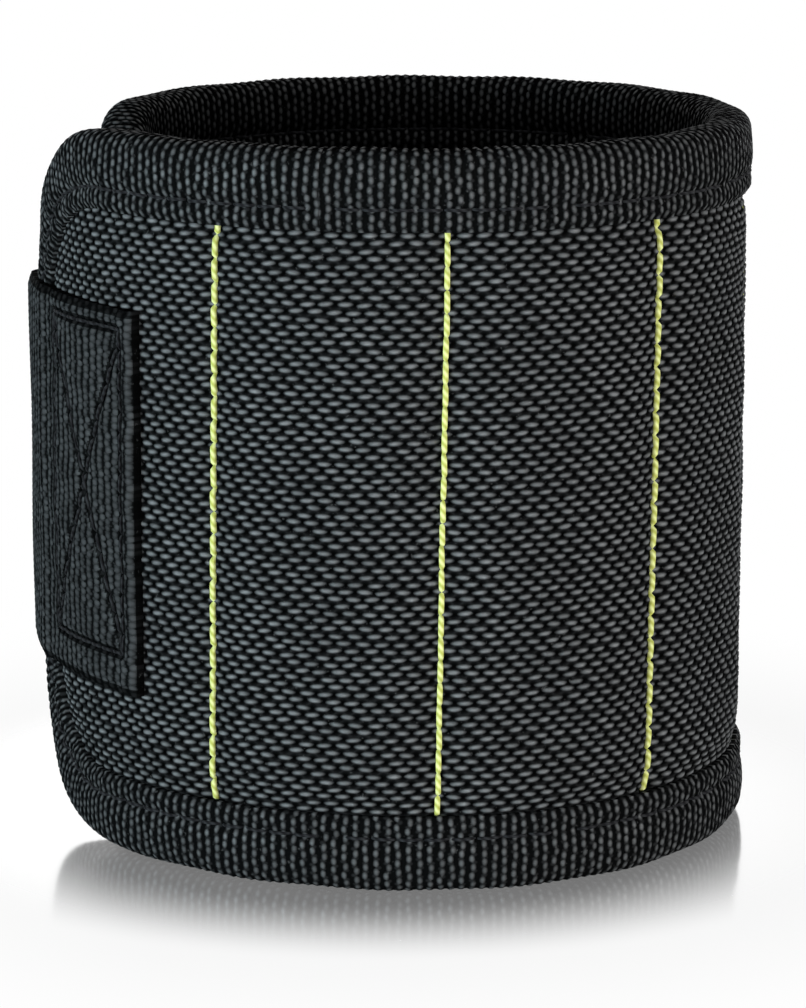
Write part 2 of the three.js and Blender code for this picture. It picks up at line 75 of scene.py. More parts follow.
camera_data = bpy.data.cameras.new("photo_view")
camera_data.lens = CAMERA_LENS
camera = bpy.data.objects.new("photo_view", camera_data)
camera.location = Vector(CAMERA_PLACE) * MM
camera.rotation_euler = (math.radians(90 - CAMERA_PITCH), 0, 0)
scene.collection.objects.link(camera)
scene.camera = camera
print("camera:", [round(x, 3) for x in camera.location], "lens", camera_data.lens)

# %% [markdown]
# ## Helpers
#
# Materials here are long chains of small nodes. Short helpers keep them readable: most add one kind of
# node, link or set its inputs and hand back its result. The last one turns an edited bmesh into a mesh.

# %% Helpers that add shader nodes and meshes
WHITE = (1, 1, 1, 1)


def connect(tree, node, inputs):
    """Inputs of a node, by name or number: sockets are linked and plain values are set."""
    for name, value in dict(inputs).items():
        if isinstance(value, bpy.types.NodeSocket):
            tree.links.new(value, node.inputs[name])
        else:
            node.inputs[name].default_value = value


def add(tree, kind, inputs=(), **settings):
    """A new shader node with its settings and inputs."""
    made = tree.nodes.new("ShaderNode" + kind)
    for name, value in settings.items():
        setattr(made, name, value)
    connect(tree, made, inputs)
    return made


def calc(tree, operation, *values):
    """The result of a Math node."""
    return add(tree, "Math", dict(enumerate(values)), operation=operation).outputs[0]


def mixed(tree, factor, first, second):
    """The colour between two colours. A Mix node has its colour sockets at these numbers."""
    sockets = {0: factor, 6: first, 7: second}
    return add(tree, "Mix", sockets, data_type="RGBA").outputs[2]


def ranged(tree, value, low, high, span=(0.0, 1.0), kind="LINEAR"):
    """A value that crosses the span, turned into one from low to high."""
    sockets = {"Value": value, "From Min": span[0], "From Max": span[1], "To Min": low, "To Max": high}
    return add(tree, "MapRange", sockets, interpolation_type=kind).outputs[0]


def noise(tree, place, scale, detail):
    """Soft random values round a half."""
    return add(tree, "TexNoise", {"Vector": place, "Scale": scale, "Detail": detail}).outputs["Fac"]


def bumped(tree, height, strength, distance):
    """The normal of a bump whose distance is in millimetres."""
    sockets = {"Height": height, "Strength": strength, "Distance": distance * MM}
    return add(tree, "Bump", sockets).outputs[0]


def grouped(tree, group, inputs):
    """The outputs of a node group placed in a material."""
    return add(tree, "Group", inputs, node_tree=group).outputs


def grey(level, tint=(1.0, 1.0, 1.0)):
    """A colour of that level with a slight tint."""
    return (level * tint[0], level * tint[1], level * tint[2], 1)


def new_material(name):
    """A new material, its nodes and its Principled shader."""
    material = bpy.data.materials.new(name)
    material.use_nodes = True
    return material, material.node_tree, material.node_tree.nodes["Principled BSDF"]


def mesh_of(bm, name):
    """A mesh from a bmesh that is no longer needed."""
    mesh = bpy.data.meshes.new(name)
    bm.to_mesh(mesh)
    bm.free()
    return mesh


print("helpers: nodes, materials and meshes")

# %% [markdown]
# ## The studio
#
# The object stands on a pale glossy table in front of white. The white is only for what the camera and
# reflections see: the light that reaches the cloth comes from soft lamps and a dim room. A cool lamp on the
# left and neutral ones on the other sides stand about as high as the rim, so the inside of the ring stays in
# its own shade, and a weak one from above draws the rim. The table mirrors the band softly, and keeps its
# shadow.

# %% Build the white room and its lamps
ROOM_LIGHT = 0.1
COOL_LIGHT = (0.72, 0.92, 1.0)
PLAIN_LIGHT = (1.0, 0.99, 0.98)
LAMPS = {
    "left_softbox": ((-0.7, -0.5, 0.05), (0.4, 0.08), 6.8, COOL_LIGHT),
    "front_softbox": ((0.12, -0.95, 0.05), (0.4, 0.08), 4.6, PLAIN_LIGHT),
    "right_softbox": ((0.8, -0.35, 0.05), (0.4, 0.08), 3.5, PLAIN_LIGHT),
    "back_softbox": ((-0.15, 0.95, 0.05), (0.4, 0.08), 5.5, PLAIN_LIGHT),
    "top_softbox": ((0.0, -0.1, 0.7), (0.3, 0.3), 0.6, PLAIN_LIGHT),
}
LAMP_TARGET = Vector((0, 0, 0.045))

world = bpy.data.worlds.new("white_room")
world.use_nodes = True
scene.world = world
tree = world.node_tree
path = add(tree, "LightPath").outputs
seen = calc(tree, "MAXIMUM", path["Is Camera Ray"], path["Is Glossy Ray"])
seen = calc(tree, "MAXIMUM", seen, path["Is Transmission Ray"])
dim = add(tree, "Background", {"Color": WHITE, "Strength": ROOM_LIGHT})
white = add(tree, "Background", {"Color": WHITE, "Strength": 1.0})
shown = add(tree, "MixShader", {0: seen, 1: dim.outputs[0], 2: white.outputs[0]})
connect(tree, tree.nodes["World Output"], {"Surface": shown.outputs[0]})

for name, (place, size, power, colour) in LAMPS.items():
    lamp_data = bpy.data.lights.new(name, "AREA")
    lamp_data.shape = "RECTANGLE"
    lamp_data.size, lamp_data.size_y = size
    lamp_data.energy = power
    lamp_data.color = colour
    lamp = bpy.data.objects.new(name, lamp_data)
    lamp.location = place
    lamp.rotation_euler = (LAMP_TARGET - lamp.location).to_track_quat("-Z", "Y").to_euler()
    scene.collection.objects.link(lamp)
print("lamps:", ", ".join(LAMPS))

# %% Lay the pale table
TABLE_SIZE = 6.0
TABLE_DROP = 0.0004
TABLE_LEVEL = 0.9
TABLE_ROUGHNESS = 0.6
TABLE_GLOW = 0.88
GLOW_REACH = (0.05, 0.11)
TABLE_MIRROR = 0.8
MIRROR_ROUGHNESS = 0.12
MIRROR_REACH = (0.045, 0.068)

bm = bmesh.new()
bmesh.ops.create_grid(bm, x_segments=1, y_segments=1, size=TABLE_SIZE / 2)
bmesh.ops.translate(bm, verts=bm.verts, vec=(0, 0, -TABLE_DROP))
table = bpy.data.objects.new("table", mesh_of(bm, "table"))
scene.collection.objects.link(table)

material, tree, surface = new_material("pale_table")
connect(tree, surface, {"Base Color": grey(TABLE_LEVEL), "Roughness": TABLE_ROUGHNESS})
place = add(tree, "TexCoord").outputs["Object"]
away = add(tree, "VectorMath", {0: place}, operation="LENGTH").outputs["Value"]
glow = add(tree, "Emission", {"Color": WHITE, "Strength": 1.0})
bright = ranged(tree, away, TABLE_GLOW, 1.0, GLOW_REACH, "SMOOTHSTEP")
lit = add(tree, "MixShader", {0: bright, 1: surface.outputs[0], 2: glow.outputs[0]})
mirror = add(tree, "BsdfGlossy", {"Color": WHITE, "Roughness": MIRROR_ROUGHNESS})
mirrored = ranged(tree, away, TABLE_MIRROR, 0.0, MIRROR_REACH, "SMOOTHSTEP")
polished = add(tree, "MixShader", {0: mirrored, 1: lit.outputs[0], 2: mirror.outputs[0]})
to_camera = add(tree, "LightPath").outputs["Is Camera Ray"]
seen = add(tree, "MixShader", {0: to_camera, 1: surface.outputs[0], 2: polished.outputs[0]})
connect(tree, tree.nodes["Material Output"], {"Surface": seen.outputs[0]})
table.data.materials.append(material)
print("table:", TABLE_SIZE, "m square")

# %% [markdown]
# ## How the flat band curls
#
# In plan the curled band is three arcs that meet without a kink: the flared outer end, the ring itself and
# the inner end, which curls in to lie under the outer end. A flat point is given by s along the band, n out
# from the face of the cover and z up the width. One function wraps all points of a piece at once, with
# numpy, because a woven face has tens of thousands of them. The ring's place is read from a hinge of the
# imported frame.

# %% Describe the flat band and wrap it
BAND_WIDTH = 90.0
MIDDLE = BAND_WIDTH / 2
RING_RADIUS = 41.0
OUTER_FLARE = 6.9
FLARE_ANGLE = math.radians(3.5)
OUTER_END_LENGTH = 46.0
POCKET_PITCH = 29.1
POCKETS = 5
CORNER_RADIUS = 27.0
END_OVERLAP = 19.0
OVERLAP_CLEARANCE = 0.5
TUCK_TURN = math.radians(40)
WALL = 4.804
PROUD_OUTSIDE = 0.5
PROUD_INSIDE = 0.3

SEAMS = OUTER_END_LENGTH + POCKET_PITCH * np.arange(POCKETS + 1)
PANELS = ["outer_end", *(f"pocket_{number}" for number in range(1, POCKETS + 1)), "loop_end"]
HINGES = {joint["name"]: np.array(joint["pos_m"]) / MM for joint in frame["joints"]}


def outward(angle):
    """Plan direction of a polar angle, with 0 towards the viewer and turning to the right."""
    return np.stack([np.sin(angle), -np.cos(angle)], axis=-1)


flare_s = SEAMS[1]
flare_radius = RING_RADIUS + OUTER_FLARE
flare_centre = -OUTER_FLARE * outward(FLARE_ANGLE)
outer_tip = flare_radius * outward(FLARE_ANGLE - flare_s / flare_radius) + flare_centre
outer_tip_angle = math.atan2(outer_tip[0], -outer_tip[1]) + 2 * math.pi

inner_tip_angle = outer_tip_angle + END_OVERLAP / RING_RADIUS
tuck_angle = outer_tip_angle - TUCK_TURN
along_centre = outward(inner_tip_angle) @ flare_centre
reach = along_centre + math.sqrt(along_centre**2 - OUTER_FLARE**2 + flare_radius**2)
inner_tip_radius = reach - (WALL + PROUD_INSIDE + PROUD_OUTSIDE + OVERLAP_CLEARANCE)
tuck_turn = inner_tip_angle - tuck_angle
tuck_shift = (RING_RADIUS**2 - inner_tip_radius**2) / (
    2 * (RING_RADIUS - inner_tip_radius * math.cos(tuck_turn))
)
tuck_radius = RING_RADIUS - tuck_shift
tuck_s = flare_s + (tuck_angle - FLARE_ANGLE) * RING_RADIUS
tuck_sweep = math.atan2(
    inner_tip_radius * math.sin(tuck_turn), inner_tip_radius * math.cos(tuck_turn) - tuck_shift
)
BAND_LENGTH = tuck_s + tuck_sweep * tuck_radius

ARC_RADIUS = np.array([flare_radius, RING_RADIUS, tuck_radius])
ARC_ANGLE = np.array([FLARE_ANGLE, FLARE_ANGLE, tuck_angle])
ARC_START = np.array([flare_s, flare_s, tuck_s])
ARC_CENTRE = np.array([flare_centre, (0, 0), tuck_shift * outward(tuck_angle)])
third_seam = outward(FLARE_ANGLE + POCKET_PITCH / RING_RADIUS)
RING_CENTRE = HINGES["seam_fold_3"][:2] - third_seam * (RING_RADIUS + PROUD_OUTSIDE)


def plan_angle(s):
    """The polar angle of the band's outward direction, and the arc that s lies on."""
    arc = np.searchsorted([flare_s, tuck_s], s, side="right")
    return ARC_ANGLE[arc] + (s - ARC_START[arc]) / ARC_RADIUS[arc], arc


def wrap(s, n, z):
    """Flat millimetres to metres on the ring."""
    angle, arc = plan_angle(s)
    plan = outward(angle) * (ARC_RADIUS[arc] + n)[:, None] + ARC_CENTRE[arc] + RING_CENTRE
    return np.column_stack([plan, z]) * MM


print("band:", round(BAND_LENGTH, 1), "mm long, ring centre", RING_CENTRE.round(2))

# %% [markdown]
# ## A sheet with a woven face
#
# Cloth could be a plain surface with a bump map, but the yarns of this band are a millimetre wide and show
# in the outline. So a sheet starts as two flat grids: a fine one for the face, whose points sit on the
# yarns, and a coarse one for the hidden back. Bridging their borders closes the sheet. Its points are then
# moved by one function that knows the weave and the way the piece bends.
#
# Two maps go with it. One counts yarns, for the weave in the materials. The other is an unwrapping without
# overlaps, with the face filling most of the square and the back and the rim in a strip beside it.

# %% Helpers that make closed sheets
BACK_STEP = 3.0
STEP_SLACK = 0.01
FACE_SHARE = np.array([0.9, 0.98])
BACK_SHARE = np.array([0.06, 0.44])
RIM_SHARE = np.array([0.06, 0.484])
BACK_CORNER = np.array([0.93, 0.01])
RIM_CORNER = np.array([0.93, 0.48])
RIM_TURNS = 1.05
MAP_MARGIN = 0.01
LEAST_DEPTH = 1e-6
CREASE = math.radians(70)


def flat_grid(bm, low, high, step, height):
    """A grid from corner to corner, with cells hardly larger than the step. Returns its faces."""
    count = [max(1, math.ceil((b - a) / size - STEP_SLACK)) for a, b, size in zip(low, high, step)]
    size = Matrix.Diagonal((high[0] - low[0], high[1] - low[1], 1, 1))
    centre = Matrix.Translation(((low[0] + high[0]) / 2, (low[1] + high[1]) / 2, height))
    made = bmesh.ops.create_grid(
        bm, x_segments=count[0], y_segments=count[1], size=0.5, matrix=centre @ size
    )
    return list({face for vert in made["verts"] for face in vert.link_faces})


def closed_sheet(low, high, step, thickness, keep=None, unit=1.0):
    """A flat closed sheet. keep says which points of the plan lie inside a cut outline, and unit is how many
    millimetres the second coordinate counts in."""
    bm = bmesh.new()
    flat_grid(bm, low, high, step, 0)
    back = flat_grid(bm, low, high, (BACK_STEP, BACK_STEP / unit), -thickness)
    bmesh.ops.reverse_faces(bm, faces=back)
    if keep:
        outside = [face for face in bm.faces if not keep(*face.calc_center_median().xy)]
        bmesh.ops.delete(bm, geom=outside, context="FACES")
    bm.faces.index_update()
    fronts = sum(face.calc_center_median().z > -thickness / 2 for face in bm.faces)
    backs = len(bm.faces) - fronts
    area = sum(face.calc_area() for face in bm.faces if face.index < fronts) * unit
    bmesh.ops.bridge_loops(bm, edges=[edge for edge in bm.edges if edge.is_boundary])
    return bm, (fronts, backs, area)


def flat_points(mesh):
    """The points of a mesh, one to a row."""
    flat = np.empty(len(mesh.vertices) * 3)
    mesh.vertices.foreach_get("co", flat)
    return flat.reshape(-1, 3)


def loop_arrays(mesh):
    """The vertex and the face of each corner of a mesh."""
    corners = np.empty(len(mesh.loops), np.int32)
    mesh.loops.foreach_get("vertex_index", corners)
    sizes = np.empty(len(mesh.polygons), np.int32)
    mesh.polygons.foreach_get("loop_total", sizes)
    return corners, np.repeat(np.arange(len(sizes)), sizes)


def add_map(mesh, name, places):
    """A UV map from one place for each corner."""
    layer = mesh.uv_layers.new(name=name)
    layer.uv.foreach_set("vector", places.astype(np.float32).ravel())


def bake_places(flat, corners, faces, fronts, backs):
    """Where each corner lies in the unwrapping: face, back and rim apart."""
    low, high = flat[:, :2].min(0), flat[:, :2].max(0)
    share = ((flat[:, :2] - low) / (high - low))[corners]
    places = share * FACE_SHARE + MAP_MARGIN
    is_back = (faces >= fronts) & (faces < fronts + backs)
    places[is_back] = share[is_back] * BACK_SHARE + BACK_CORNER
    is_rim = faces >= fronts + backs
    turn = np.arctan2(share[:, 1] - 0.5, share[:, 0] - 0.5) / (2 * math.pi) + 0.5
    highest = np.full(faces.max() + 1, -1.0)
    np.maximum.at(highest, faces, turn)
    turn = np.where(highest[faces] - turn > 0.5, turn + 1, turn) / RIM_TURNS
    depth = flat[corners, 2] / min(flat[:, 2].min(), -LEAST_DEPTH)
    rim = np.column_stack([depth, turn]) * RIM_SHARE + RIM_CORNER
    places[is_rim] = rim[is_rim]
    return places


def shown_mesh(name, mesh, material):
    """A smooth-shaded piece at the origin, with its place in its mesh."""
    mesh.polygons.foreach_set("use_smooth", np.ones(len(mesh.polygons), bool))
    mesh.set_sharp_from_angle(angle=CREASE)
    mesh.materials.append(material)
    piece = bpy.data.objects.new(name, mesh)
    scene.collection.objects.link(piece)
    return piece


def bent_piece(name, mesh, flat, place, material):
    """A flat mesh becomes a piece: place bends its flat points onto the band."""
    mesh.vertices.foreach_set("co", place(*flat.T).ravel())
    mesh.update()
    return shown_mesh(name, mesh, material)


def sheet_piece(name, sheet, cells, place, material):
    """A closed flat sheet becomes a piece. cells counts its yarns."""
    bm, (fronts, backs, area) = sheet
    mesh = mesh_of(bm, name)
    flat = flat_points(mesh)
    corners, faces = loop_arrays(mesh)
    add_map(mesh, "weave", cells(flat[:, 0], flat[:, 1])[corners])
    add_map(mesh, "OFBake", bake_places(flat, corners, faces, fronts, backs))
    piece = bent_piece(name, mesh, flat, place, material)
    piece["flat_area"] = area * MM**2
    return piece


print("helpers: closed_sheet, sheet_piece")

# %% [markdown]
# ## The weave, as a node group
#
# In plain weave the yarns cross like a chess board: where one yarn lies on top it makes a rounded crown, and
# the crown catches the light. The same lattice is used twice: in numpy, to raise the crowns of the mesh, and
# here as a node group, to colour the crowns and what lies between them, each crown a little differently; the
# grey of a crown is a painted highlight. What lies between is a hole in the cover, painted near black as
# shade, and the back of a cross thread in a tape, so it is a second mask with its own shape.

# %% Make the weave, strand and rubbed-cloth groups
UNDER_PEAK = 0.7
FADE_SCALE = 70.0
FADE_SPAN = (0.35, 0.7)
LINT_SCALE = 1700.0
LINT_SPAN = (0.69, 0.75)


def new_group(name, inputs, outputs):
    """A shader node group with named sockets. Returns its tree and its two ends."""
    group = bpy.data.node_groups.new(name, "ShaderNodeTree")
    for socket, kind, value in inputs:
        made = group.interface.new_socket(socket, in_out="INPUT", socket_type="NodeSocket" + kind)
        if value is not None:
            made.default_value = value
    for socket in outputs:
        group.interface.new_socket(socket, in_out="OUTPUT", socket_type="NodeSocketFloat")
    return group, group.nodes.new("NodeGroupInput").outputs, group.nodes.new("NodeGroupOutput")


def lattice(tree, u, v, length, width, peak, uneven):
    """The crown mask of one half of the chess board, and a random number for each crown. Uneven crowns lie a
    little out of place and out of line."""
    first = calc(tree, "ROUND", calc(tree, "MULTIPLY", calc(tree, "ADD", u, v), 0.5))
    second = calc(tree, "ROUND", calc(tree, "MULTIPLY", calc(tree, "SUBTRACT", u, v), 0.5))
    row = calc(tree, "ADD", first, second)
    column = calc(tree, "SUBTRACT", first, second)
    nearest = add(tree, "CombineXYZ", {"X": row, "Y": column}).outputs[0]
    chance = add(tree, "TexWhiteNoise", {"Vector": nearest}, noise_dimensions="2D").outputs
    parts = add(tree, "SeparateXYZ", {0: chance["Color"]}).outputs
    aside, lower, lean = (
        calc(tree, "MULTIPLY", calc(tree, "SUBTRACT", part, 0.5), uneven) for part in parts
    )
    across = calc(tree, "SUBTRACT", calc(tree, "SUBTRACT", u, row), aside)
    along = calc(tree, "SUBTRACT", calc(tree, "SUBTRACT", v, column), lower)
    along = calc(tree, "MULTIPLY_ADD", across, lean, along)
    far = calc(tree, "POWER", calc(tree, "DIVIDE", across, length), 2.0)
    high = calc(tree, "POWER", calc(tree, "DIVIDE", along, width), 2.0)
    inside = calc(tree, "SUBTRACT", 1.0, calc(tree, "ADD", far, high))
    mask = calc(tree, "POWER", calc(tree, "MAXIMUM", inside, 0.0), peak)
    return mask, chance["Value"]


weave, given, end = new_group(
    "plain weave",
    [
        ("Cells", "Vector", None),
        ("Crown Length", "Float", 0.8),
        ("Crown Width", "Float", 0.5),
        ("Crown Peak", "Float", 2.0),
        ("Under Length", "Float", 0.6),
        ("Under Width", "Float", 0.6),
        ("Uneven", "Float", 0.2),
    ],
    ["Crown", "Under", "Tone"],
)
cell = add(weave, "SeparateXYZ", {0: given["Cells"]})
u, v = cell.outputs[0], cell.outputs[1]
crown_size = [given[name] for name in ("Crown Length", "Crown Width", "Crown Peak", "Uneven")]
crown, tone = lattice(weave, u, v, *crown_size)
under_size = [given[name] for name in ("Under Length", "Under Width")]
beside = calc(weave, "SUBTRACT", u, 1.0)
under, _ = lattice(weave, beside, v, *under_size, UNDER_PEAK, given["Uneven"])
connect(weave, end, {"Crown": crown, "Under": under, "Tone": tone})

strands, given, end = new_group(
    "strands",
    [("Cells", "Vector", None), ("Along", "Float", 2.0), ("Across", "Float", 6.0)],
    ["Strand"],
)
scale = add(strands, "CombineXYZ", {"X": given["Along"], "Y": given["Across"]}).outputs[0]
drawn = add(strands, "VectorMath", {0: given["Cells"], 1: scale}, operation="MULTIPLY").outputs[0]
connect(strands, end, {"Strand": noise(strands, drawn, 1.0, 2.0)})

rubbed, given, end = new_group("rubbed cloth", [("Place", "Vector", None)], ["Fade", "Lint"])
patches = noise(rubbed, given["Place"], FADE_SCALE, 3.0)
specks = noise(rubbed, given["Place"], LINT_SCALE, 2.0)
fade = ranged(rubbed, patches, 0.0, 1.0, FADE_SPAN)
lint = ranged(rubbed, specks, 0.0, 1.0, LINT_SPAN)
connect(rubbed, end, {"Fade": fade, "Lint": lint})
print("groups:", ", ".join(group.name for group in bpy.data.node_groups))

# %% [markdown]
# ## The cloth finishes
#
# Cover, binding, strap and lining are all black nylon, and differ in yarn, sheen and depth of colour. One
# function builds them from the same groups. The crowns are grey, a painted highlight, and lighter where the
# cloth is rubbed; the gaps are nearly black, painted shade. So the contrast is set by these painted colours,
# by a clear coat on the crowns alone and by a bump that rounds each yarn further than the mesh can. The
# lining is
# the other way round: its crowns are the dark holes of a mesh.

# %% Make the woven finishes
COOL = (0.96, 1.0, 1.03)
PATTERN_SOCKETS = ("Crown Length", "Crown Width", "Crown Peak", "Under Length", "Under Width", "Uneven")
COVER_PATTERN = (0.88, 0.39, 1.8, 0.64, 0.72, 0.22)
TAPE_PATTERN = (0.32, 1.1, 1.8, 0.34, 0.5, 0.3)
STRAP_PATTERN = (0.42, 1.15, 1.0, 0.42, 0.6, 0.35)
LINING_PATTERN = (0.42, 0.42, 1.6, 0.4, 0.4, 0.1)
# HOLE sinks what lies between the crowns; in the cover its near-black grey is painted shade.
HOLE, CROSS_THREAD = -0.5, 0.5
# BODY_SPREAD and BODY_SHARE shape the painted highlight on each crown: a dim grey body round a bright core.
BODY_SPREAD = 0.25
BODY_SHARE = 0.13
CROWN_TONES = (0.7, 1.2)
FADED_TONE = 1.5
FADE_MOST = 0.4
STRAND_SHADES = (0.4, 1.5)
STRAND_HEIGHT = 0.25
LINT_MOST = 0.15
LINT_LEVEL = 0.2
YARN_BUMP = 0.6
COAT_ROUGHNESS = 0.4


def woven_finish(name, levels, pattern, under_height, relief, roughness, shine):
    """A woven material. levels are the greys of the gaps, of what lies under and of the crowns, relief is
    the height of its bump, and roughness and shine say how its crowns differ from its gaps. In cover, tape
    and
    webbing these greys paint the light: the near-black gaps are painted shade and the grey crowns a painted
    highlight."""
    gap, under, crown = levels
    material, tree, surface = new_material(name)
    cells = add(tree, "UVMap", uv_map="weave").outputs[0]
    yarn = grouped(tree, weave, {"Cells": cells, **dict(zip(PATTERN_SOCKETS, pattern))})
    strand = grouped(tree, strands, {"Cells": cells})["Strand"]
    worn = grouped(tree, rubbed, {"Place": add(tree, "TexCoord").outputs["Object"]})
    # In cover, tape and webbing this is painted shade: the gaps, and the holes of the cover, are near black.
    colour = mixed(tree, yarn["Under"], grey(gap, COOL), grey(under, COOL))
    # Painted highlight: a dim grey body round each crown with a brighter grey core, lighter on some crowns
    # and where the cloth is rubbed.
    body = calc(tree, "POWER", yarn["Crown"], BODY_SPREAD)
    colour = mixed(tree, body, colour, grey(crown * BODY_SHARE, COOL))
    bright = mixed(tree, yarn["Tone"], *(grey(crown * tone, COOL) for tone in CROWN_TONES))
    faded = ranged(tree, worn["Fade"], 0.0, FADE_MOST)
    bright = mixed(tree, faded, bright, grey(crown * FADED_TONE, COOL))
    shade = calc(tree, "MULTIPLY", yarn["Crown"], ranged(tree, strand, *STRAND_SHADES))
    colour = mixed(tree, shade, colour, bright)
    colour = mixed(tree, ranged(tree, worn["Lint"], 0.0, LINT_MOST), colour, grey(LINT_LEVEL))
    raised = calc(tree, "MULTIPLY_ADD", yarn["Under"], under_height, yarn["Crown"])
    height = calc(tree, "MULTIPLY_ADD", strand, STRAND_HEIGHT, raised)
    look = {
        "Base Color": colour,
        "Roughness": ranged(tree, yarn["Crown"], *roughness),
        "Coat Weight": ranged(tree, yarn["Crown"], 0.0, shine),
        "Normal": bumped(tree, height, YARN_BUMP, relief),
        "Specular IOR Level": 0.0,
        "Coat Roughness": COAT_ROUGHNESS,
    }
    connect(tree, surface, look)
    return material


# Greys of gap, of what lies under and of crown. In cover, tape and webbing the near-black gaps are painted
# shade and the grey crowns a painted highlight; the strap's near-black finish is painted shade on its edges
# and sewn lines.
WOVEN = {
    "cover_nylon": ((0.011, 0.001, 0.148), COVER_PATTERN, HOLE, 0.15, (0.9, 0.5), 0.3),
    "binding_tape": ((0.003, 0.016, 0.08), TAPE_PATTERN, CROSS_THREAD, 0.12, (0.9, 0.5), 0.3),
    "strap_webbing": ((0.004, 0.032, 0.05), STRAP_PATTERN, CROSS_THREAD, 0.1, (0.9, 0.6), 0.1),
    "strap_painted_shade": ((0.002, 0.004, 0.008), STRAP_PATTERN, CROSS_THREAD, 0.06, (0.9, 0.7), 0.05),
    "lining_mesh": ((0.035, 0.03, 0.006), LINING_PATTERN, HOLE, -0.1, (0.85, 0.9), 0.05),
}
woven = {name: woven_finish(name, *look) for name, look in WOVEN.items()}
print("finishes:", ", ".join(woven))

# %% [markdown]
# ## The cover
#
# The cover is one woven cloth over the foam. The seams draw it into a narrow valley with a pucker at each
# stitch, the pockets between them swell a little, and its edge is pressed flat under the binding. It is made
# in pieces that run from the middle of one pocket to the middle of the next, so each piece crosses one seam.
# The cloth was cut slightly off the thread, so its yarns lean.

# %% Shape the cover's face
YARN = np.array([1.14, 0.91])
YARN_LEAN = 0.2
YARN_RELIEF = 0.2
COVER_THICKNESS = 0.8
COVER_INSET = 5.0
BINDING_WIDTH = 9.5
STITCH_PITCH = 2.8
SEAM_VALLEY = 0.95
SEAM_REACH = 1.7
SEAM_SOFTNESS = 0.35
SEAM_LEAN = 0.016
PUCKER = 0.05
PUCKER_REACH = 1.8
POCKET_SWELL = 0.35
SWELL_REACH = 7.0
EDGE_PRESS = 0.55
SEAM_PRESS = 1.2
EDGE_UNDER = 0.5
EDGE_RAMP = 4.0
SLACK = 0.14
SLACK_REACH = 6.0
SLACK_ALONG = (0.23, 0.9)
SLACK_UP = (0.19, 0.4)
SLANT_SHARE = 0.6
SLANT = (0.41, 0.31)


def smooth_step(value, low, high):
    """0 below low, 1 above high and a smooth rise between."""
    share = np.clip((value - low) / (high - low), 0, 1)
    return share * share * (3 - 2 * share)


def crowns(u, v, length, width):
    """How high the weave stands: 1 on a crown, 0 in a gap."""
    first, second = np.round((u + v) / 2), np.round((u - v) / 2)
    across = (u - first - second) / length
    along = (v - first + second) / width
    return np.sqrt(np.clip(1 - across**2 - along**2, 0, None))


def weave_relief(u, v, pattern, under_height):
    """Crowns of the yarns on top, and the holes or the lower crowns between them."""
    length, width, _, under_length, under_width, _ = pattern
    return crowns(u, v, length, width) + under_height * crowns(u - 1, v, under_length, under_width)


def from_outline(s, z):
    """How far a flat point lies inside the rounded outline of the band."""
    to_tip = np.minimum(s, BAND_LENGTH - s)
    to_rim = np.minimum(z, BAND_WIDTH - z)
    in_corner = (to_tip < CORNER_RADIUS) & (to_rim < CORNER_RADIUS)
    round_corner = CORNER_RADIUS - np.hypot(CORNER_RADIUS - to_tip, CORNER_RADIUS - to_rim)
    return np.where(in_corner, round_corner, np.minimum(to_tip, to_rim))


def under_binding(s, z):
    """1 where the binding presses the cloth flat, 0 well inside it."""
    return 1 - smooth_step(from_outline(s, z), BINDING_WIDTH - EDGE_UNDER, BINDING_WIDTH + EDGE_RAMP)


def seam_shift(z):
    """How far a seam has strayed sideways at that height, because it was guided by hand."""
    return SEAM_LEAN * (z - MIDDLE)


def from_seam(s, z):
    """How far a flat point lies from the nearest seam."""
    return np.abs((s - seam_shift(z))[:, None] - SEAMS).min(1)


def cloth_slack(s, z):
    """Slow waves of cloth that is not quite tight."""
    broad = np.sin(SLACK_ALONG[0] * s + SLACK_ALONG[1]) * np.sin(SLACK_UP[0] * z + SLACK_UP[1])
    return SLACK * (broad + SLANT_SHARE * np.sin(SLANT[0] * s + SLANT[1] * z))


def cover_face(s, z):
    """The height of the cover's face over the ring."""
    seam = from_seam(s, z)
    soft = np.hypot(seam, SEAM_SOFTNESS)
    in_pocket = (s > SEAMS[0]) & (s < SEAMS[-1])
    swell = np.where(in_pocket, POCKET_SWELL, 0) * smooth_step(seam, 0, SWELL_REACH)
    valley = -SEAM_VALLEY * np.exp(-soft / SEAM_REACH)
    pucker = PUCKER * np.cos(2 * math.pi * z / STITCH_PITCH) * np.exp(-soft / PUCKER_REACH)
    slack = cloth_slack(s, z) * smooth_step(seam, 0, SLACK_REACH)
    pressed = under_binding(s, z)
    deep = EDGE_PRESS + SEAM_PRESS * np.exp(-soft / SEAM_REACH)
    return (swell + valley + pucker + slack) * (1 - pressed) - deep * pressed


def cover_cells(s, z):
    """Yarn counts along and across the cover's cloth."""
    return np.column_stack([(s - YARN_LEAN * (z - MIDDLE)) / YARN[0], z / YARN[1]])


def place_cover(s, z, height):
    """The cover's flat sheet, woven and wrapped. Its back is left smooth."""
    u, v = cover_cells(s, z).T
    relief = YARN_RELIEF * weave_relief(u, v, COVER_PATTERN, HOLE)
    return wrap(s, cover_face(s, z) + np.where(height < 0, height, relief), z)


print("cover: yarns", YARN, "mm, lean", YARN_LEAN)

# %% Sew the cover in pieces that each cross a seam
PAST_LAST_SEAM = 20.0
COVER_STEP = (YARN[0] / 4, YARN[1] / 3)
middles = (SEAMS[:-1] + SEAMS[1:]) / 2
CLOTH_CUTS = [COVER_INSET, *middles, SEAMS[-1] + PAST_LAST_SEAM, BAND_LENGTH - COVER_INSET]


def fold_at(piece, number):
    """The piece's placement is baked into its mesh; the angle and hinge of that seam are found but not used.
    """
    angle, _ = plan_angle(SEAMS[number - 1])
    hinge = Vector(HINGES[f"seam_fold_{number}"]) * MM
    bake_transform(piece)


def inside_cut(x, z):
    """Whether a point lies on cloth that was cut to the band's outline, a little inside the binding. Cloth
    that faces the wrist is laid out backwards, with x below 0."""
    return from_outline(abs(x), z) > COVER_INSET


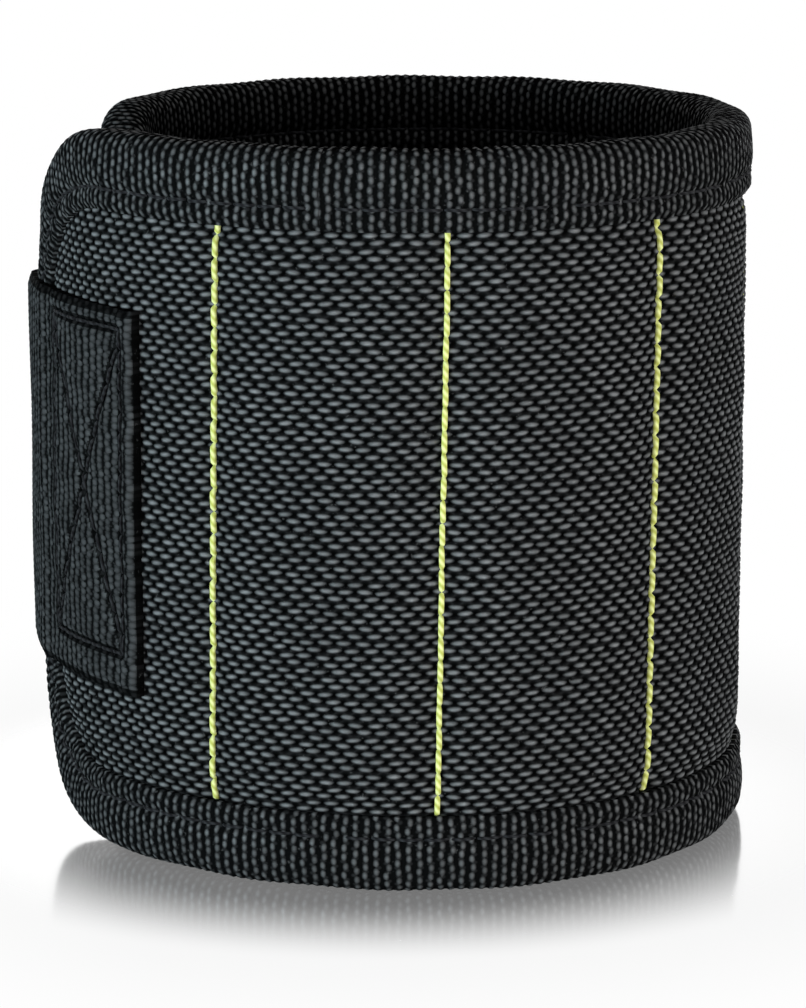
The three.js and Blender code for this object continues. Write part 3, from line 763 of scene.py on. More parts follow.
def sew_layer(layer, finish, step, thickness, cells, place, way):
    """One layer of cloth, in pieces that each cross a seam, but for the last. way is -1 for a layer that is
    laid out backwards."""
    pieces = []
    for number, (low, high) in enumerate(zip(CLOTH_CUTS[:-1], CLOTH_CUTS[1:]), start=1):
        left, right = sorted((low * way, high * way))
        corner_cut = inside_cut if number in (1, len(CLOTH_CUTS) - 1) else None
        corners = (left, COVER_INSET), (right, BAND_WIDTH - COVER_INSET)
        sheet = closed_sheet(*corners, step, thickness, corner_cut)
        piece = sheet_piece(f"{layer}_cloth_{number}", sheet, cells, place, woven[finish])
        if number <= len(SEAMS):
            fold_at(piece, number)
            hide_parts(f"{layer}_{PANELS[number]}")
        else:
            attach(piece, PANELS[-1])
        f"foam_pad_{PANELS[min(number, POCKETS + 1)]}"
        pieces.append(piece)
    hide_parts(f"{layer}_outer_end")
    faces = sum(len(piece.data.polygons) for piece in pieces)
    print(f"{layer}: {len(pieces)} pieces, {faces} faces")


sew_layer("cover", "cover_nylon", COVER_STEP, COVER_THICKNESS, cover_cells, place_cover, 1)

# %% [markdown]
# ## The lining
#
# Inside, a soft knitted mesh faces the wrist. It is smoother and darker than the cover, so its face needs no
# yarns in the mesh and its holes stay with the material. It is laid out like the cover, but turned over, so
# its flat sheet runs backwards.

# %% Sew in the lining
LINING_THICKNESS = 0.8
LINING_STEP = (0.9, 1.2)
LINING_CELL = 0.75
LINING_PINCH = 0.6
LINING_SLACK = 0.4
LINING_SHIFT = 11.0


def lining_face(s, z):
    """The lining's depth under the cover's face: drawn outwards at the seams and under the binding. Its
    waves are weaker than the cover's and lie elsewhere."""
    drawn = np.exp(-np.hypot(from_seam(s, z), SEAM_SOFTNESS) / SEAM_REACH)
    pinch = LINING_PINCH * np.maximum(drawn, under_binding(s, z))
    return -WALL + pinch + LINING_SLACK * cloth_slack(s + LINING_SHIFT, z)


def place_lining(x, z, height):
    """The lining's flat sheet, turned to face the wrist."""
    return wrap(-x, lining_face(-x, z) - height, z)


def lining_cells(x, z):
    """Counts of mesh holes along and across the lining."""
    return np.column_stack([x, z]) / LINING_CELL


sew_layer("lining", "lining_mesh", LINING_STEP, LINING_THICKNESS, lining_cells, place_lining, -1)

# %% [markdown]
# ## The binding
#
# A woven tape is folded over the raw edge, all round the band, and sewn through. Laid flat it is just a long
# strip: t runs along the outline of the band and w across the tape, from its edge on the cover, over the
# fold, to its edge on the lining. Bending it is one function from (t, w) to the band. The sewing presses a
# groove beside each edge, and the tape gathers where the outline turns a corner.

# %% Describe the outline and the fold of the tape
TAPE_THICKNESS = 0.5
TAPE_FOLD = 2.2
TAPE_RELIEF = 0.13
GROOVE_INSET = 2.7
GROOVE_DEPTH = 0.42
GROOVE_WIDTH = 0.55
STITCH_PULL = 0.25
EDGE_DROP = 0.5
EDGE_ROUND = 0.9
ROLL = 0.22
GATHER = 0.16
GATHER_PITCH = 4.4
GATHER_REACH = (2, 8)
TAPE_WAVE = 0.08
TAPE_WAVE_TURNS = (0.37, 0.5)

corner_run = CORNER_RADIUS * math.pi / 2
top_run = BAND_LENGTH - 2 * CORNER_RADIUS
tip_run = BAND_WIDTH - 2 * CORNER_RADIUS
RUNS = np.array([top_run, corner_run, tip_run, corner_run] * 2)
RUN_STARTS = np.concatenate([[0], np.cumsum(RUNS)])
PERIMETER = RUN_STARTS[-1]


def closing_pitch(pitch, group=1):
    """The pitch next to the given one whose groups go round the outline a whole number of times."""
    return PERIMETER / group / round(PERIMETER / group / pitch)


TAPE_YARN = np.array([closing_pitch(1.28, group=2), 0.56])
EDGE_STITCH = closing_pitch(3.2)


def outline(t):
    """Flat points on the band's outline, their direction into the band and how much they are on a corner.
    It starts on the top rim after the outer corner and runs towards the inner end."""
    t = t % PERIMETER
    run = np.searchsorted(RUN_STARTS, t, side="right") - 1
    along = t - RUN_STARTS[run]
    turn = (run // 2 + np.where(run % 2, along / corner_run, 0)) * (math.pi / 2)
    into = np.column_stack([-np.sin(turn), -np.cos(turn)])
    half = np.array([BAND_LENGTH, BAND_WIDTH]) / 2 - CORNER_RADIUS
    corner = np.array([(-1, 1), (1, 1), (1, -1), (-1, -1)])
    before = (run + 1) // 2 % 4
    centre = half * corner[before]
    way = np.column_stack([np.cos(turn), -np.sin(turn)])
    straight = np.where(run % 2, 0, along)
    point = centre - into * CORNER_RADIUS + way * straight[:, None]
    point += np.array([BAND_LENGTH, BAND_WIDTH]) / 2
    on_corner = np.where(run % 2, np.sin(math.pi * along / corner_run), 0)
    return point, into, on_corner


tape_leg = BINDING_WIDTH - TAPE_FOLD
fold_run = TAPE_FOLD * math.pi / 2
tape_back = WALL + PROUD_OUTSIDE + PROUD_INSIDE - 2 * TAPE_FOLD
TAPE_RUNS = np.cumsum([tape_leg, fold_run, tape_back, fold_run, tape_leg])
TAPE_WIDTH = TAPE_RUNS[-1]


def tape_section(w):
    """The folded tape in section: depth into the band, height n, and the direction its face looks."""
    low, high = TAPE_RUNS[0], TAPE_RUNS[3]
    first = np.clip((w - low) / fold_run, 0, 1)
    second = np.clip((w - TAPE_RUNS[2]) / fold_run, 0, 1)
    turn = (first + second) * (math.pi / 2)
    face = np.column_stack([-np.sin(turn), np.cos(turn)])
    straight = np.clip(w - TAPE_RUNS[1], 0, tape_back)
    leg = np.clip(low - w, 0, None) + np.clip(w - high, 0, None)
    depth = TAPE_FOLD + leg + TAPE_FOLD * face[:, 0]
    height = PROUD_OUTSIDE - TAPE_FOLD + TAPE_FOLD * face[:, 1] - straight
    return depth, height, face


print("binding:", round(PERIMETER), "mm of tape,", round(TAPE_WIDTH, 1), "mm wide")

# %% Fold the tape over the edge
TAPE_STEP = (TAPE_YARN[0] / 4, TAPE_YARN[1] / 2)


def tape_cells(t, w):
    """Yarn counts along and across the tape."""
    return np.column_stack([t, w]) / TAPE_YARN


def tape_swell(t, w, on_corner):
    """The tape's face: a groove where it is sewn, rounded edges, a soft roll between and gathers at
    corners."""
    from_edge = np.minimum(w, TAPE_WIDTH - w)
    from_groove = from_edge - GROOVE_INSET
    stitch = 1 - STITCH_PULL + STITCH_PULL * np.cos(2 * math.pi * t / EDGE_STITCH)
    groove = -GROOVE_DEPTH * stitch * np.exp(-((from_groove / GROOVE_WIDTH) ** 2))
    edge = -EDGE_DROP * (1 - smooth_step(from_edge, 0, EDGE_ROUND))
    roll = ROLL * np.sin(math.pi * np.clip(from_groove / (tape_leg - GROOVE_INSET), 0, 1))
    gather = GATHER * on_corner * np.sin(2 * math.pi * t / GATHER_PITCH)
    gather *= 1 - smooth_step(from_edge, *GATHER_REACH)
    wave = TAPE_WAVE * np.sin(TAPE_WAVE_TURNS[0] * t + TAPE_WAVE_TURNS[1] * w)
    return groove + edge + roll + gather + wave


def on_tape(t, w, height):
    """Flat points on or over the face of the tape, folded and wrapped."""
    point, into, on_corner = outline(t)
    depth, n, face = tape_section(w)
    lift = height + tape_swell(t, w, on_corner)
    depth = depth + face[:, 0] * lift
    place = point + into * depth[:, None]
    return wrap(place[:, 0], n + face[:, 1] * lift, place[:, 1])


def place_tape(t, w, height):
    """The tape's flat strip, woven. Its back is left smooth."""
    u, v = tape_cells(t, w).T
    relief = TAPE_RELIEF * weave_relief(u, v, TAPE_PATTERN, CROSS_THREAD)
    return on_tape(t, w, np.where(height < 0, height, relief))


bottom_end = RUN_STARTS[4] + top_run
BINDING = {}
for number in range(2, POCKETS + 1):
    low, high = middles[number - 2] - CORNER_RADIUS, middles[number - 1] - CORNER_RADIUS
    BINDING[f"top_{number}"] = (number, low, high)
    BINDING[f"bottom_{number}"] = (number, bottom_end - high, bottom_end - low)
first_top = middles[0] - CORNER_RADIUS
last_top = middles[-1] - CORNER_RADIUS
BINDING["loop_end"] = (len(SEAMS), last_top, bottom_end - last_top)
BINDING["outer_end"] = (1, bottom_end - first_top, PERIMETER + first_top)

tapes = {}
for where, (number, low, high) in BINDING.items():
    sheet = closed_sheet((low, 0), (high, TAPE_WIDTH), TAPE_STEP, TAPE_THICKNESS)
    piece = sheet_piece(f"binding_tape_{where}", sheet, tape_cells, place_tape, woven["binding_tape"])
    fold_at(piece, number)
    tapes[where] = piece
for number in range(1, POCKETS + 1):
    for side in ("top", "bottom"):
        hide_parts(f"binding_{side}_{number}")
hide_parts("binding_outer_end")
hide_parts("binding_loop_end")
tape_faces = sum(len(piece.data.polygons) for piece in tapes.values())
print("binding:", len(tapes), "pieces,", tape_faces, "faces")

# %% [markdown]
# ## Thread
#
# A stitch is a short piece of twisted thread that comes up through one needle hole and goes down through the
# next. It is modelled as a six-sided rod, cut into rings and bent down at both ends. It is then copied along
# a seam in the flat, most copies a little out of line, and wrapped with the cloth that it holds.

# %% Make a thread finish and one stitch
PLY_SCALE = 0.55
PLY_STRAY = 0.6
HAIR = 9.0
HAIR_SHADES = (0.6, 1.3)
PLY_ROUGHER = 0.15
PLY_BUMP = 0.5
PLY_RELIEF = 0.06
THREAD_SHINE = 0.1
THREAD_SIDES = 6
STITCH_RINGS = 5
DIVE, DIVE_POWER = 0.7, 8
NECK, NECK_POWER = 0.3, 6


def thread_finish(name, dark, bright, roughness):
    """Twisted thread: dark lines between the plies, painted shade in their grooves, and a softer colour on
    their backs.
    """
    material, tree, surface = new_material(name)
    flat = add(tree, "UVMap", uv_map="flat").outputs[0]
    twist = {"Vector": flat, "Scale": PLY_SCALE, "Distortion": PLY_STRAY, "Detail": 1.0}
    wave = add(tree, "TexWave", twist, wave_type="BANDS", bands_direction="DIAGONAL")
    plies = wave.outputs["Fac"]
    hair = grouped(tree, strands, {"Cells": flat, "Along": HAIR, "Across": HAIR})["Strand"]
    # Painted shade: the thread is darker in the grooves between its plies.
    shade = calc(tree, "MULTIPLY", plies, ranged(tree, hair, *HAIR_SHADES))
    look = {
        "Base Color": mixed(tree, shade, dark, bright),
        "Roughness": ranged(tree, shade, roughness + PLY_ROUGHER, roughness),
        "Normal": bumped(tree, plies, PLY_BUMP, PLY_RELIEF),
        "Specular IOR Level": THREAD_SHINE,
    }
    connect(tree, surface, look)
    return material


seam_yellow = thread_finish("seam_yellow", (0.46, 0.49, 0.1, 1), (0.78, 0.82, 0.36, 1), 0.5)
black_thread = thread_finish("black_thread", (0.004, 0.004, 0.005, 1), (0.02, 0.021, 0.023, 1), 0.6)


def stitch_mesh(length, radius):
    """One stitch that lies along y, arched over the cloth."""
    bm = bmesh.new()
    bmesh.ops.create_cone(
        bm, cap_ends=True, segments=THREAD_SIDES, radius1=radius, radius2=radius, depth=length
    )
    lengthwise = [edge for edge in bm.edges if abs(edge.verts[0].co.z - edge.verts[1].co.z) > length / 2]
    bmesh.ops.subdivide_edges(bm, edges=lengthwise, cuts=STITCH_RINGS, use_grid_fill=True)
    bmesh.ops.rotate(bm, verts=bm.verts, matrix=Matrix.Rotation(math.radians(-90), 3, "X"))
    for vert in bm.verts:
        share = abs(vert.co.y) / (length / 2)
        vert.co.x *= 1 - NECK * share**NECK_POWER
        vert.co.z -= DIVE * radius * 2 * share**DIVE_POWER
    return mesh_of(bm, "stitch")


def copies(name, shape, places):
    """A mesh that holds a copy of a small shape at each place."""
    bm = bmesh.new()
    for place in places:
        copy = shape.copy()
        copy.transform(place)
        bm.from_mesh(copy)
        bpy.data.meshes.remove(copy)
    return mesh_of(bm, name)


def sewn_piece(name, shape, places, place, material):
    """Copies of a shape that lie flat become a piece on the band."""
    mesh = copies(name, shape, places)
    flat = flat_points(mesh)
    corners, _ = loop_arrays(mesh)
    add_map(mesh, "flat", flat[corners, :2])
    return bent_piece(name, mesh, flat, place, material)


print("thread:", seam_yellow.name, black_thread.name)

# %% Sew the seams in yellow and their inner side in black
THREAD_RADIUS = 0.38
THREAD_LEAN = 0.02
THREAD_LIFT = -0.08
BOBBIN_RADIUS = THREAD_RADIUS * 0.8
BOBBIN_SUNK = 0.05
SEAM_STITCH = STITCH_PITCH * 1.04
BOBBIN_STITCH = STITCH_PITCH * 0.98
UNDER_TAPE = 0.3
SEAM_LOW = BINDING_WIDTH - UNDER_TAPE
SEAM_HIGH = BAND_WIDTH - BINDING_WIDTH + UNDER_TAPE
SEAM_COUNT = round((SEAM_HIGH - SEAM_LOW) / STITCH_PITCH)
STRAY = 0.03
STRAY_TURN = 0.02
jitter = np.random.default_rng(7)


def seam_stitches(s, radius):
    """The places of the stitches of one upright seam, each a little out of line."""
    for z in SEAM_LOW + (np.arange(SEAM_COUNT) + 0.5) * STITCH_PITCH:
        shift = jitter.normal(0, STRAY)
        lean = THREAD_LEAN + jitter.normal(0, STRAY_TURN)
        yield Matrix.Translation((s + shift, z, radius)) @ Matrix.Rotation(lean, 4, "Z")


def nearest_seam(s):
    """The seam that each point lies beside."""
    return SEAMS[np.abs(s[:, None] - SEAMS).argmin(1)]


def place_seam(s, z, height):
    """Stitches in the valley of a seam."""
    shift = seam_shift(z)
    return wrap(s + shift, cover_face(nearest_seam(s) + shift, z) + THREAD_LIFT + height, z)


def place_bobbin(x, z, height):
    """The same seam from inside."""
    shift = seam_shift(z)
    return wrap(shift - x, lining_face(nearest_seam(-x) + shift, z) - BOBBIN_SUNK - height, z)


seam_stitch = stitch_mesh(SEAM_STITCH, THREAD_RADIUS)
bobbin_stitch = stitch_mesh(BOBBIN_STITCH, BOBBIN_RADIUS)
for number, s in enumerate(SEAMS, start=1):
    places = seam_stitches(s, THREAD_RADIUS)
    piece = sewn_piece(f"seam_stitches_{number}", seam_stitch, places, place_seam, seam_yellow)
    fold_at(piece, number)
    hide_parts(f"seam_thread_{number}")
    places = seam_stitches(-s, BOBBIN_RADIUS)
    piece = sewn_piece(f"seam_bobbin_{number}", bobbin_stitch, places, place_bobbin, black_thread)
    fold_at(piece, number)
print("seams:", len(SEAMS), "rows of", SEAM_COUNT, "stitches")

# %% Sew the binding down on both sides
EDGE_THREAD = 0.2
EDGE_STITCH_SHARE = 0.94


def edge_stitches(low, high):
    """Stitches along both edges of a length of tape, in the grooves."""
    for number in range(math.ceil(low / EDGE_STITCH), math.floor(high / EDGE_STITCH)):
        for w in (GROOVE_INSET, TAPE_WIDTH - GROOVE_INSET):
            middle = Matrix.Translation(((number + 0.5) * EDGE_STITCH, w, EDGE_THREAD))
            yield middle @ Matrix.Rotation(math.radians(90) + jitter.normal(0, STRAY), 4, "Z")


edge_stitch = stitch_mesh(EDGE_STITCH * EDGE_STITCH_SHARE, EDGE_THREAD)
for where, (number, low, high) in BINDING.items():
    places = edge_stitches(low, high)
    piece = sewn_piece(f"edge_stitches_{where}", edge_stitch, places, on_tape, black_thread)
    fold_at(piece, number)
print("binding stitches:", len(BINDING), "pairs of rows")

# %% [markdown]
# ## Foam and magnets
#
# The foam core has a hole for each magnet and is pinched at the seams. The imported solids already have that
# form, so each pad starts from a copy of its solid, whose loose triangles are merged, and gets soft edges.
# The magnets are hard plated discs and stay as they are, with a better finish.

# %% Soften the foam and plate the magnets
FOAM_SOFTNESS = 0.22
FOAM_SHARP = math.radians(50)
FOAM_MERGE = 1e-6
FOAM_COLOURS = (0.012, 0.012, 0.013, 1), (0.045, 0.045, 0.048, 1)
PORE_SCALE = 1900.0
PORE_BUMP = 0.5
PORE_DEPTH = 0.2
GRAIN_SCALE = 900.0
NICKEL_COLOURS = (0.5, 0.5, 0.49, 1), (0.66, 0.65, 0.62, 1)
STAIN_SCALE = 260.0
SCRATCH_SCALE = 2500.0

foam_core, tree, surface = new_material("foam_core")
place = add(tree, "TexCoord").outputs["Object"]
# Painted shade: the foam is darker in the hollows of its pores.
pores = add(tree, "TexVoronoi", {"Vector": place, "Scale": PORE_SCALE}).outputs["Distance"]
look = {
    "Base Color": mixed(tree, pores, *FOAM_COLOURS),
    "Roughness": ranged(tree, noise(tree, place, GRAIN_SCALE, 3.0), 0.85, 1.0),
    "Normal": bumped(tree, pores, PORE_BUMP, PORE_DEPTH),
}
connect(tree, surface, look)

for body in PANELS:
    bm = bmesh.new()
    bm.from_mesh(frame["nodes"][f"foam_{body}"].data)
    bmesh.ops.remove_doubles(bm, verts=bm.verts, dist=FOAM_MERGE)
    sharp = [edge for edge in bm.edges if edge.is_manifold and edge.calc_face_angle() > FOAM_SHARP]
    bmesh.ops.bevel(
        bm,
        geom=sharp,
        offset=FOAM_SOFTNESS * MM,
        affect="EDGES",
        segments=2,
        profile=0.5,
        material=-1,
        clamp_overlap=True,
    )
    name = f"foam_pad_{body}"
    pad = shown_mesh(name, mesh_of(bm, name), foam_core)
    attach(pad, body)
    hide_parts(f"foam_{body}")

magnet_nickel, tree, surface = new_material("magnet_nickel")
place = add(tree, "TexCoord").outputs["Object"]
look = {
    "Base Color": mixed(tree, noise(tree, place, STAIN_SCALE, 4.0), *NICKEL_COLOURS),
    "Roughness": ranged(tree, noise(tree, place, SCRATCH_SCALE, 2.0), 0.15, 0.4),
    "Metallic": 1.0,
}
connect(tree, surface, look)
magnets = [name for name in frame["nodes"] if name.startswith("magnet_")]
for name in magnets:
    frame["nodes"][name].data.materials.clear()
    frame["nodes"][name].data.materials.append(magnet_nickel)
print("foam:", len(PANELS), "pads,", len(magnets), "magnets")

# %% [markdown]
# ## The strap
#
# The strap is a ribbed webbing. One end is turned under and sewn to the outer end of the band with a box and
# a cross; the other runs over the tip and ends in the hook tape. It is one strip in the flat, made as two
# pieces that meet in the middle of its free span.

# %% Lay out the strap
STRAP_WIDTH = 48.0
STRAP_HALF = STRAP_WIDTH / 2
STRAP_THICKNESS = 1.4
STRAP_SEWN = 35.0
STRAP_HOOKED = 46.0
STRAP_CORNER = 6.0
STRAP_STEP = 2.5
LAYER_GAP = 0.15
HOOK_THICKNESS = 1.2
BEND_SOFTNESS = 2.5
BOX_ALONG = (15.5, 32.6)
BOX_UP = (26.0, 66.5)

binding_edge = BINDING_WIDTH + 2 * LAYER_GAP
past_corner = CORNER_RADIUS - (MIDDLE - STRAP_HALF)
under_edge = CORNER_RADIUS - math.sqrt((CORNER_RADIUS - binding_edge) ** 2 - past_corner**2)
strap_on_tape = PROUD_OUTSIDE + LAYER_GAP
bend = HINGES["strap_bend"][:2] - RING_CENTRE
bend_radius = math.hypot(*bend)
hook_radius = RING_RADIUS + 2 * LAYER_GAP + HOOK_THICKNESS
strap_radius = hook_radius + HOOK_THICKNESS + LAYER_GAP
strap_line = strap_radius + STRAP_THICKNESS / 2
peel_angle = math.atan2(bend[0], -bend[1]) - math.acos(strap_line / bend_radius)
span = math.sqrt(bend_radius**2 - strap_line**2)
span_way = np.array([-math.cos(peel_angle), -math.sin(peel_angle)])
STRAP_END = -span - STRAP_HOOKED


def under_strap(s):
    """How high the sewn end lies: on the cover, then up on the binding."""
    climbed = smooth_step(under_edge + STRAP_STEP - s, 0, STRAP_STEP)
    return LAYER_GAP + (strap_on_tape - LAYER_GAP) * climbed


def on_strap(x, z, n):
    """Flat points of the strap, with n over its underside. x is s on the sewn end and runs below 0 past the
    tip."""
    sewn = wrap(x, under_strap(np.clip(x, 0, None)) + n, z)
    past = -x
    flat = bend + past[:, None] * span_way + (n - STRAP_THICKNESS / 2)[:, None] * outward(peel_angle)
    turned = outward(peel_angle - (past - span) / strap_line) * (strap_radius + n)[:, None]
    plan = np.where((past > span)[:, None], turned, flat) + RING_CENTRE
    free = np.column_stack([plan, z]) * MM
    share = smooth_step(past, -BEND_SOFTNESS, BEND_SOFTNESS)[:, None]
    return sewn * (1 - share) + free * share


def strap_half(x):
    """Half the strap's width, with rounded corners at its free end."""
    across = np.clip(STRAP_CORNER - (x - STRAP_END), 0, STRAP_CORNER)
    return STRAP_HALF - STRAP_CORNER + np.sqrt(STRAP_CORNER**2 - across**2)


def from_line(x, z, a, b):
    """How far points lie from a line between two corners."""
    a, b = np.array(a), np.array(b)
    point = np.column_stack([x, z]) - a
    share = np.clip(point @ (b - a) / ((b - a) @ (b - a)), 0, 1)
    return np.hypot(*(point - share[:, None] * (b - a)).T)


box_corners = list(zip((*BOX_ALONG, *BOX_ALONG[::-1]), np.repeat(BOX_UP, 2)))
BOX_LINES = [(box_corners[i], box_corners[(i + 1) % 4]) for i in range(4)]
BOX_LINES += [(box_corners[0], box_corners[2]), (box_corners[1], box_corners[3])]


def from_sewing(x, z):
    """How far points of the strap lie from the nearest line of its box and cross."""
    return np.min([from_line(x, z, a, b) for a, b in BOX_LINES], axis=0)


print("strap:", round(STRAP_SEWN - STRAP_END, 1), "mm long, free span", round(span, 1), "mm")

# %% Weave the strap
STRAP_FACE = 1.15
RIB = np.array([1.5, 0.45])
RIB_RELIEF = 0.09
RIB_STEP = (RIB[0] / 6, RIB[1] / 2 / STRAP_HALF)
STRAP_DROP = 0.4
STRAP_ROUND = 0.8
HEM = 2.2
HEM_RISE = 0.45
HEM_RAMP = 1.2
SELVAGE = 0.8
SELVAGE_DEPTH = 0.16
SELVAGE_WIDTH = 0.35
SELVAGE_FLAT = 0.6
SELVAGE_RELIEF = 0.35
SEWN_GROOVE = 0.42
SEWN_WIDTH = 0.65
SEWN_PUCKER = 0.08
PUCKER_TURNS = (0.5, 0.9)
PUCKER_WIDTH = 3
STRAP_WAVE = 0.08
STRAP_WAVE_TURNS = (0.33, 0.21)
CUT_EDGE = 0.02


def strap_cells(x, share):
    """Rib counts along the strap and bead counts up it."""
    return np.column_stack([x / RIB[0], share * STRAP_HALF / RIB[1]])


def strap_face(x, share):
    """The strap's face over its plain thickness: edges, hem, selvage and the grooves of the sewn box."""
    z = MIDDLE + share * strap_half(x)
    edge = (1 - np.abs(share)) * STRAP_HALF
    ends = np.minimum(STRAP_SEWN - x, x - STRAP_END)
    rounded = -STRAP_DROP * (1 - smooth_step(np.minimum(edge, ends), 0, STRAP_ROUND))
    hem = HEM_RISE * smooth_step(x, STRAP_SEWN - HEM - HEM_RAMP, STRAP_SEWN - HEM)
    selvage = -SELVAGE_DEPTH * np.exp(-(((edge - SELVAGE) / SELVAGE_WIDTH) ** 2))
    lines = from_sewing(x, z)
    groove = -SEWN_GROOVE * np.exp(-((lines / SEWN_WIDTH) ** 2))
    pucker = SEWN_PUCKER * np.sin(PUCKER_TURNS[0] * x + PUCKER_TURNS[1] * z)
    pucker *= np.exp(-((lines / PUCKER_WIDTH) ** 2))
    wave = STRAP_WAVE * np.sin(STRAP_WAVE_TURNS[0] * x + STRAP_WAVE_TURNS[1] * z)
    return rounded + hem + selvage + groove + pucker + wave


def place_strap(x, share, height):
    """The strap's flat strip, ribbed and bent. share runs from edge to edge."""
    u, v = strap_cells(x, share).T
    ribbed = smooth_step((1 - np.abs(share)) * STRAP_HALF, SELVAGE * SELVAGE_FLAT, SELVAGE)
    ribbed = SELVAGE_RELIEF + (1 - SELVAGE_RELIEF) * ribbed
    relief = RIB_RELIEF * weave_relief(u, v, STRAP_PATTERN, CROSS_THREAD) * ribbed
    n = STRAP_FACE + np.where(height < 0, height, strap_face(x, share) + relief)
    return on_strap(x, MIDDLE + share * strap_half(x), n)


def paint_strap_shade(piece):
    """The strap's selvages, cut edges and sewn lines get a near-black finish, which is painted shade along
    them.
    The weave map gives the flat place of each face, because it counts ribs along and across."""
    mesh = piece.data
    mesh.materials.append(woven["strap_painted_shade"])
    places = np.empty(len(mesh.loops) * 2, np.float32)
    mesh.uv_layers["weave"].uv.foreach_get("vector", places)
    _, faces = loop_arrays(mesh)
    corners = np.bincount(faces)
    x, up = (np.bincount(faces, places[axis::2]) / corners * RIB[axis] for axis in (0, 1))
    # Painted shade: selvages, sewn grooves and cut edges are made near black.
    dark = (np.abs(up) > STRAP_HALF - SELVAGE) | (from_sewing(x, MIDDLE + up) < SEWN_WIDTH)
    dark |= (x < STRAP_END + CUT_EDGE) | (x > STRAP_SEWN - CUT_EDGE)
    mesh.polygons.foreach_set("material_index", dark.astype(np.int32))


STRAP_PIECES = {
    "strap_sewn": (
        (-span / 2, STRAP_SEWN),
        ("strap_bend", 6.0),
        ("strap_span", "outer_end"),
        ("strap_sewn_end", "strap_span"),
    ),
    "strap_hooked": (
        (STRAP_END, -span / 2),
        ("strap_peel", 5.0),
        ("strap_tip", "strap_span"),
        ("strap_tip",),
    ),
}
along_strap = Vector((*span_way, 0)) * MM
for name, ((low, high), (joint, bend_reach), bodies, nodes) in STRAP_PIECES.items():
    strip = closed_sheet((low, -1), (high, 1), RIB_STEP, STRAP_FACE, unit=STRAP_HALF)
    piece = sheet_piece(name, strip, strap_cells, place_strap, woven["strap_webbing"])
    hinge = Vector(HINGES[joint]) * MM
    reach = along_strap * bend_reach
    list(bodies)
    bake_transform(piece)
    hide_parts(*nodes)
    paint_strap_shade(piece)
print("strap:", len(STRAP_PIECES), "pieces")

# %% Sew the strap's box and cross
BOX_STITCH = 2.6
BOX_STITCH_SHARE = 0.92


def box_stitches():
    """Stitches along the lines of the box and its cross."""
    for a, b in BOX_LINES:
        a, b = Vector(a), Vector(b)
        count = round((b - a).length / BOX_STITCH)
        turn = math.atan2(b.y - a.y, b.x - a.x) - math.radians(90)
        for i in range(count):
            middle = a.lerp(b, (i + 0.5) / count)
            yield Matrix.Translation((*middle, EDGE_THREAD)) @ Matrix.Rotation(turn, 4, "Z")


def place_box(x, z, height):
    """Stitches on the sewn end of the strap."""
    share = (z - MIDDLE) / STRAP_HALF
    return on_strap(x, z, STRAP_FACE + strap_face(x, share) + height)


box_stitch = stitch_mesh(BOX_STITCH * BOX_STITCH_SHARE, EDGE_THREAD)
piece = sewn_piece("strap_box_stitches", box_stitch, box_stitches(), place_box, black_thread)
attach(piece, "outer_end")
print("strap:", len(piece.data.polygons), "faces of stitches")

# %% [markdown]
# ## Hook and loop
#
# The hooked end carries a stiff tape with rows of small moulded hooks, which look inwards, and the band
# carries a field of fuzzy loops for them. Seen closed, only the rim of the loop field shows; with the strap
# peeled off, both do. Each hook and each loop is a few faces, copied in rows and bent with its tape.

# %% Make the finishes and shapes of the hooks and loops
TUFT_SCALE = 1400.0
TUFT_BUMP = 0.4
TUFT_RELIEF = 0.1
PILE_LINT = 0.4
PILE_LINT_LEVEL = 0.25
PILE_SMOOTHER = 0.15
PILE_RADIUS = 0.13
ARCH_SIDES = 3
ARCH_STEPS = 5


def pile_finish(name, dark, bright, roughness, sheen, specular):
    """Nylon pile, moulded hooks or their ground: uneven in tone, with a fuzzy or a waxy shine."""
    material, tree, surface = new_material(name)
    place = add(tree, "TexCoord").outputs["Object"]
    worn = grouped(tree, rubbed, {"Place": place})
    tuft = noise(tree, place, TUFT_SCALE, 3.0)
    colour = mixed(tree, tuft, grey(dark), grey(bright))
    lint = ranged(tree, worn["Lint"], 0.0, PILE_LINT)
    look = {
        "Base Color": mixed(tree, lint, colour, grey(PILE_LINT_LEVEL)),
        "Roughness": ranged(tree, worn["Fade"], roughness, roughness - PILE_SMOOTHER),
        "Normal": bumped(tree, tuft, TUFT_BUMP, TUFT_RELIEF),
        "Sheen Weight": sheen,
        "Specular IOR Level": specular,
    }
    connect(tree, surface, look)
    return material


loop_ground = pile_finish("loop_ground", 0.002, 0.008, 0.95, 0.0, 0.0)
loop_pile = pile_finish("loop_pile", 0.004, 0.09, 0.9, 0.1, 0.02)
hook_ground = pile_finish("hook_ground", 0.003, 0.01, 0.7, 0.0, 0.05)
hook_nylon = pile_finish("hook_nylon", 0.012, 0.05, 0.5, 0.0, 0.3)


def arch_mesh(width, height, sweep):
    """A small three-sided arch of thread. One that sweeps past a half turn curls in, as a hook does."""
    bm = bmesh.new()
    made = bmesh.ops.create_circle(bm, cap_ends=True, segments=ARCH_SIDES, radius=PILE_RADIUS)
    bmesh.ops.translate(bm, verts=made["verts"], vec=(width / 2, 0, 0))
    bmesh.ops.spin(
        bm,
        geom=bm.faces[:],
        cent=(0, 0, 0),
        axis=(0, -1, 0),
        angle=math.radians(sweep),
        steps=ARCH_STEPS,
        use_duplicate=False,
    )
    bmesh.ops.scale(bm, verts=bm.verts, vec=(1, 1, height / (width / 2)))
    bmesh.ops.recalc_face_normals(bm, faces=bm.faces)
    return mesh_of(bm, "arch")


print("pile:", loop_ground.name, loop_pile.name, hook_ground.name, hook_nylon.name)

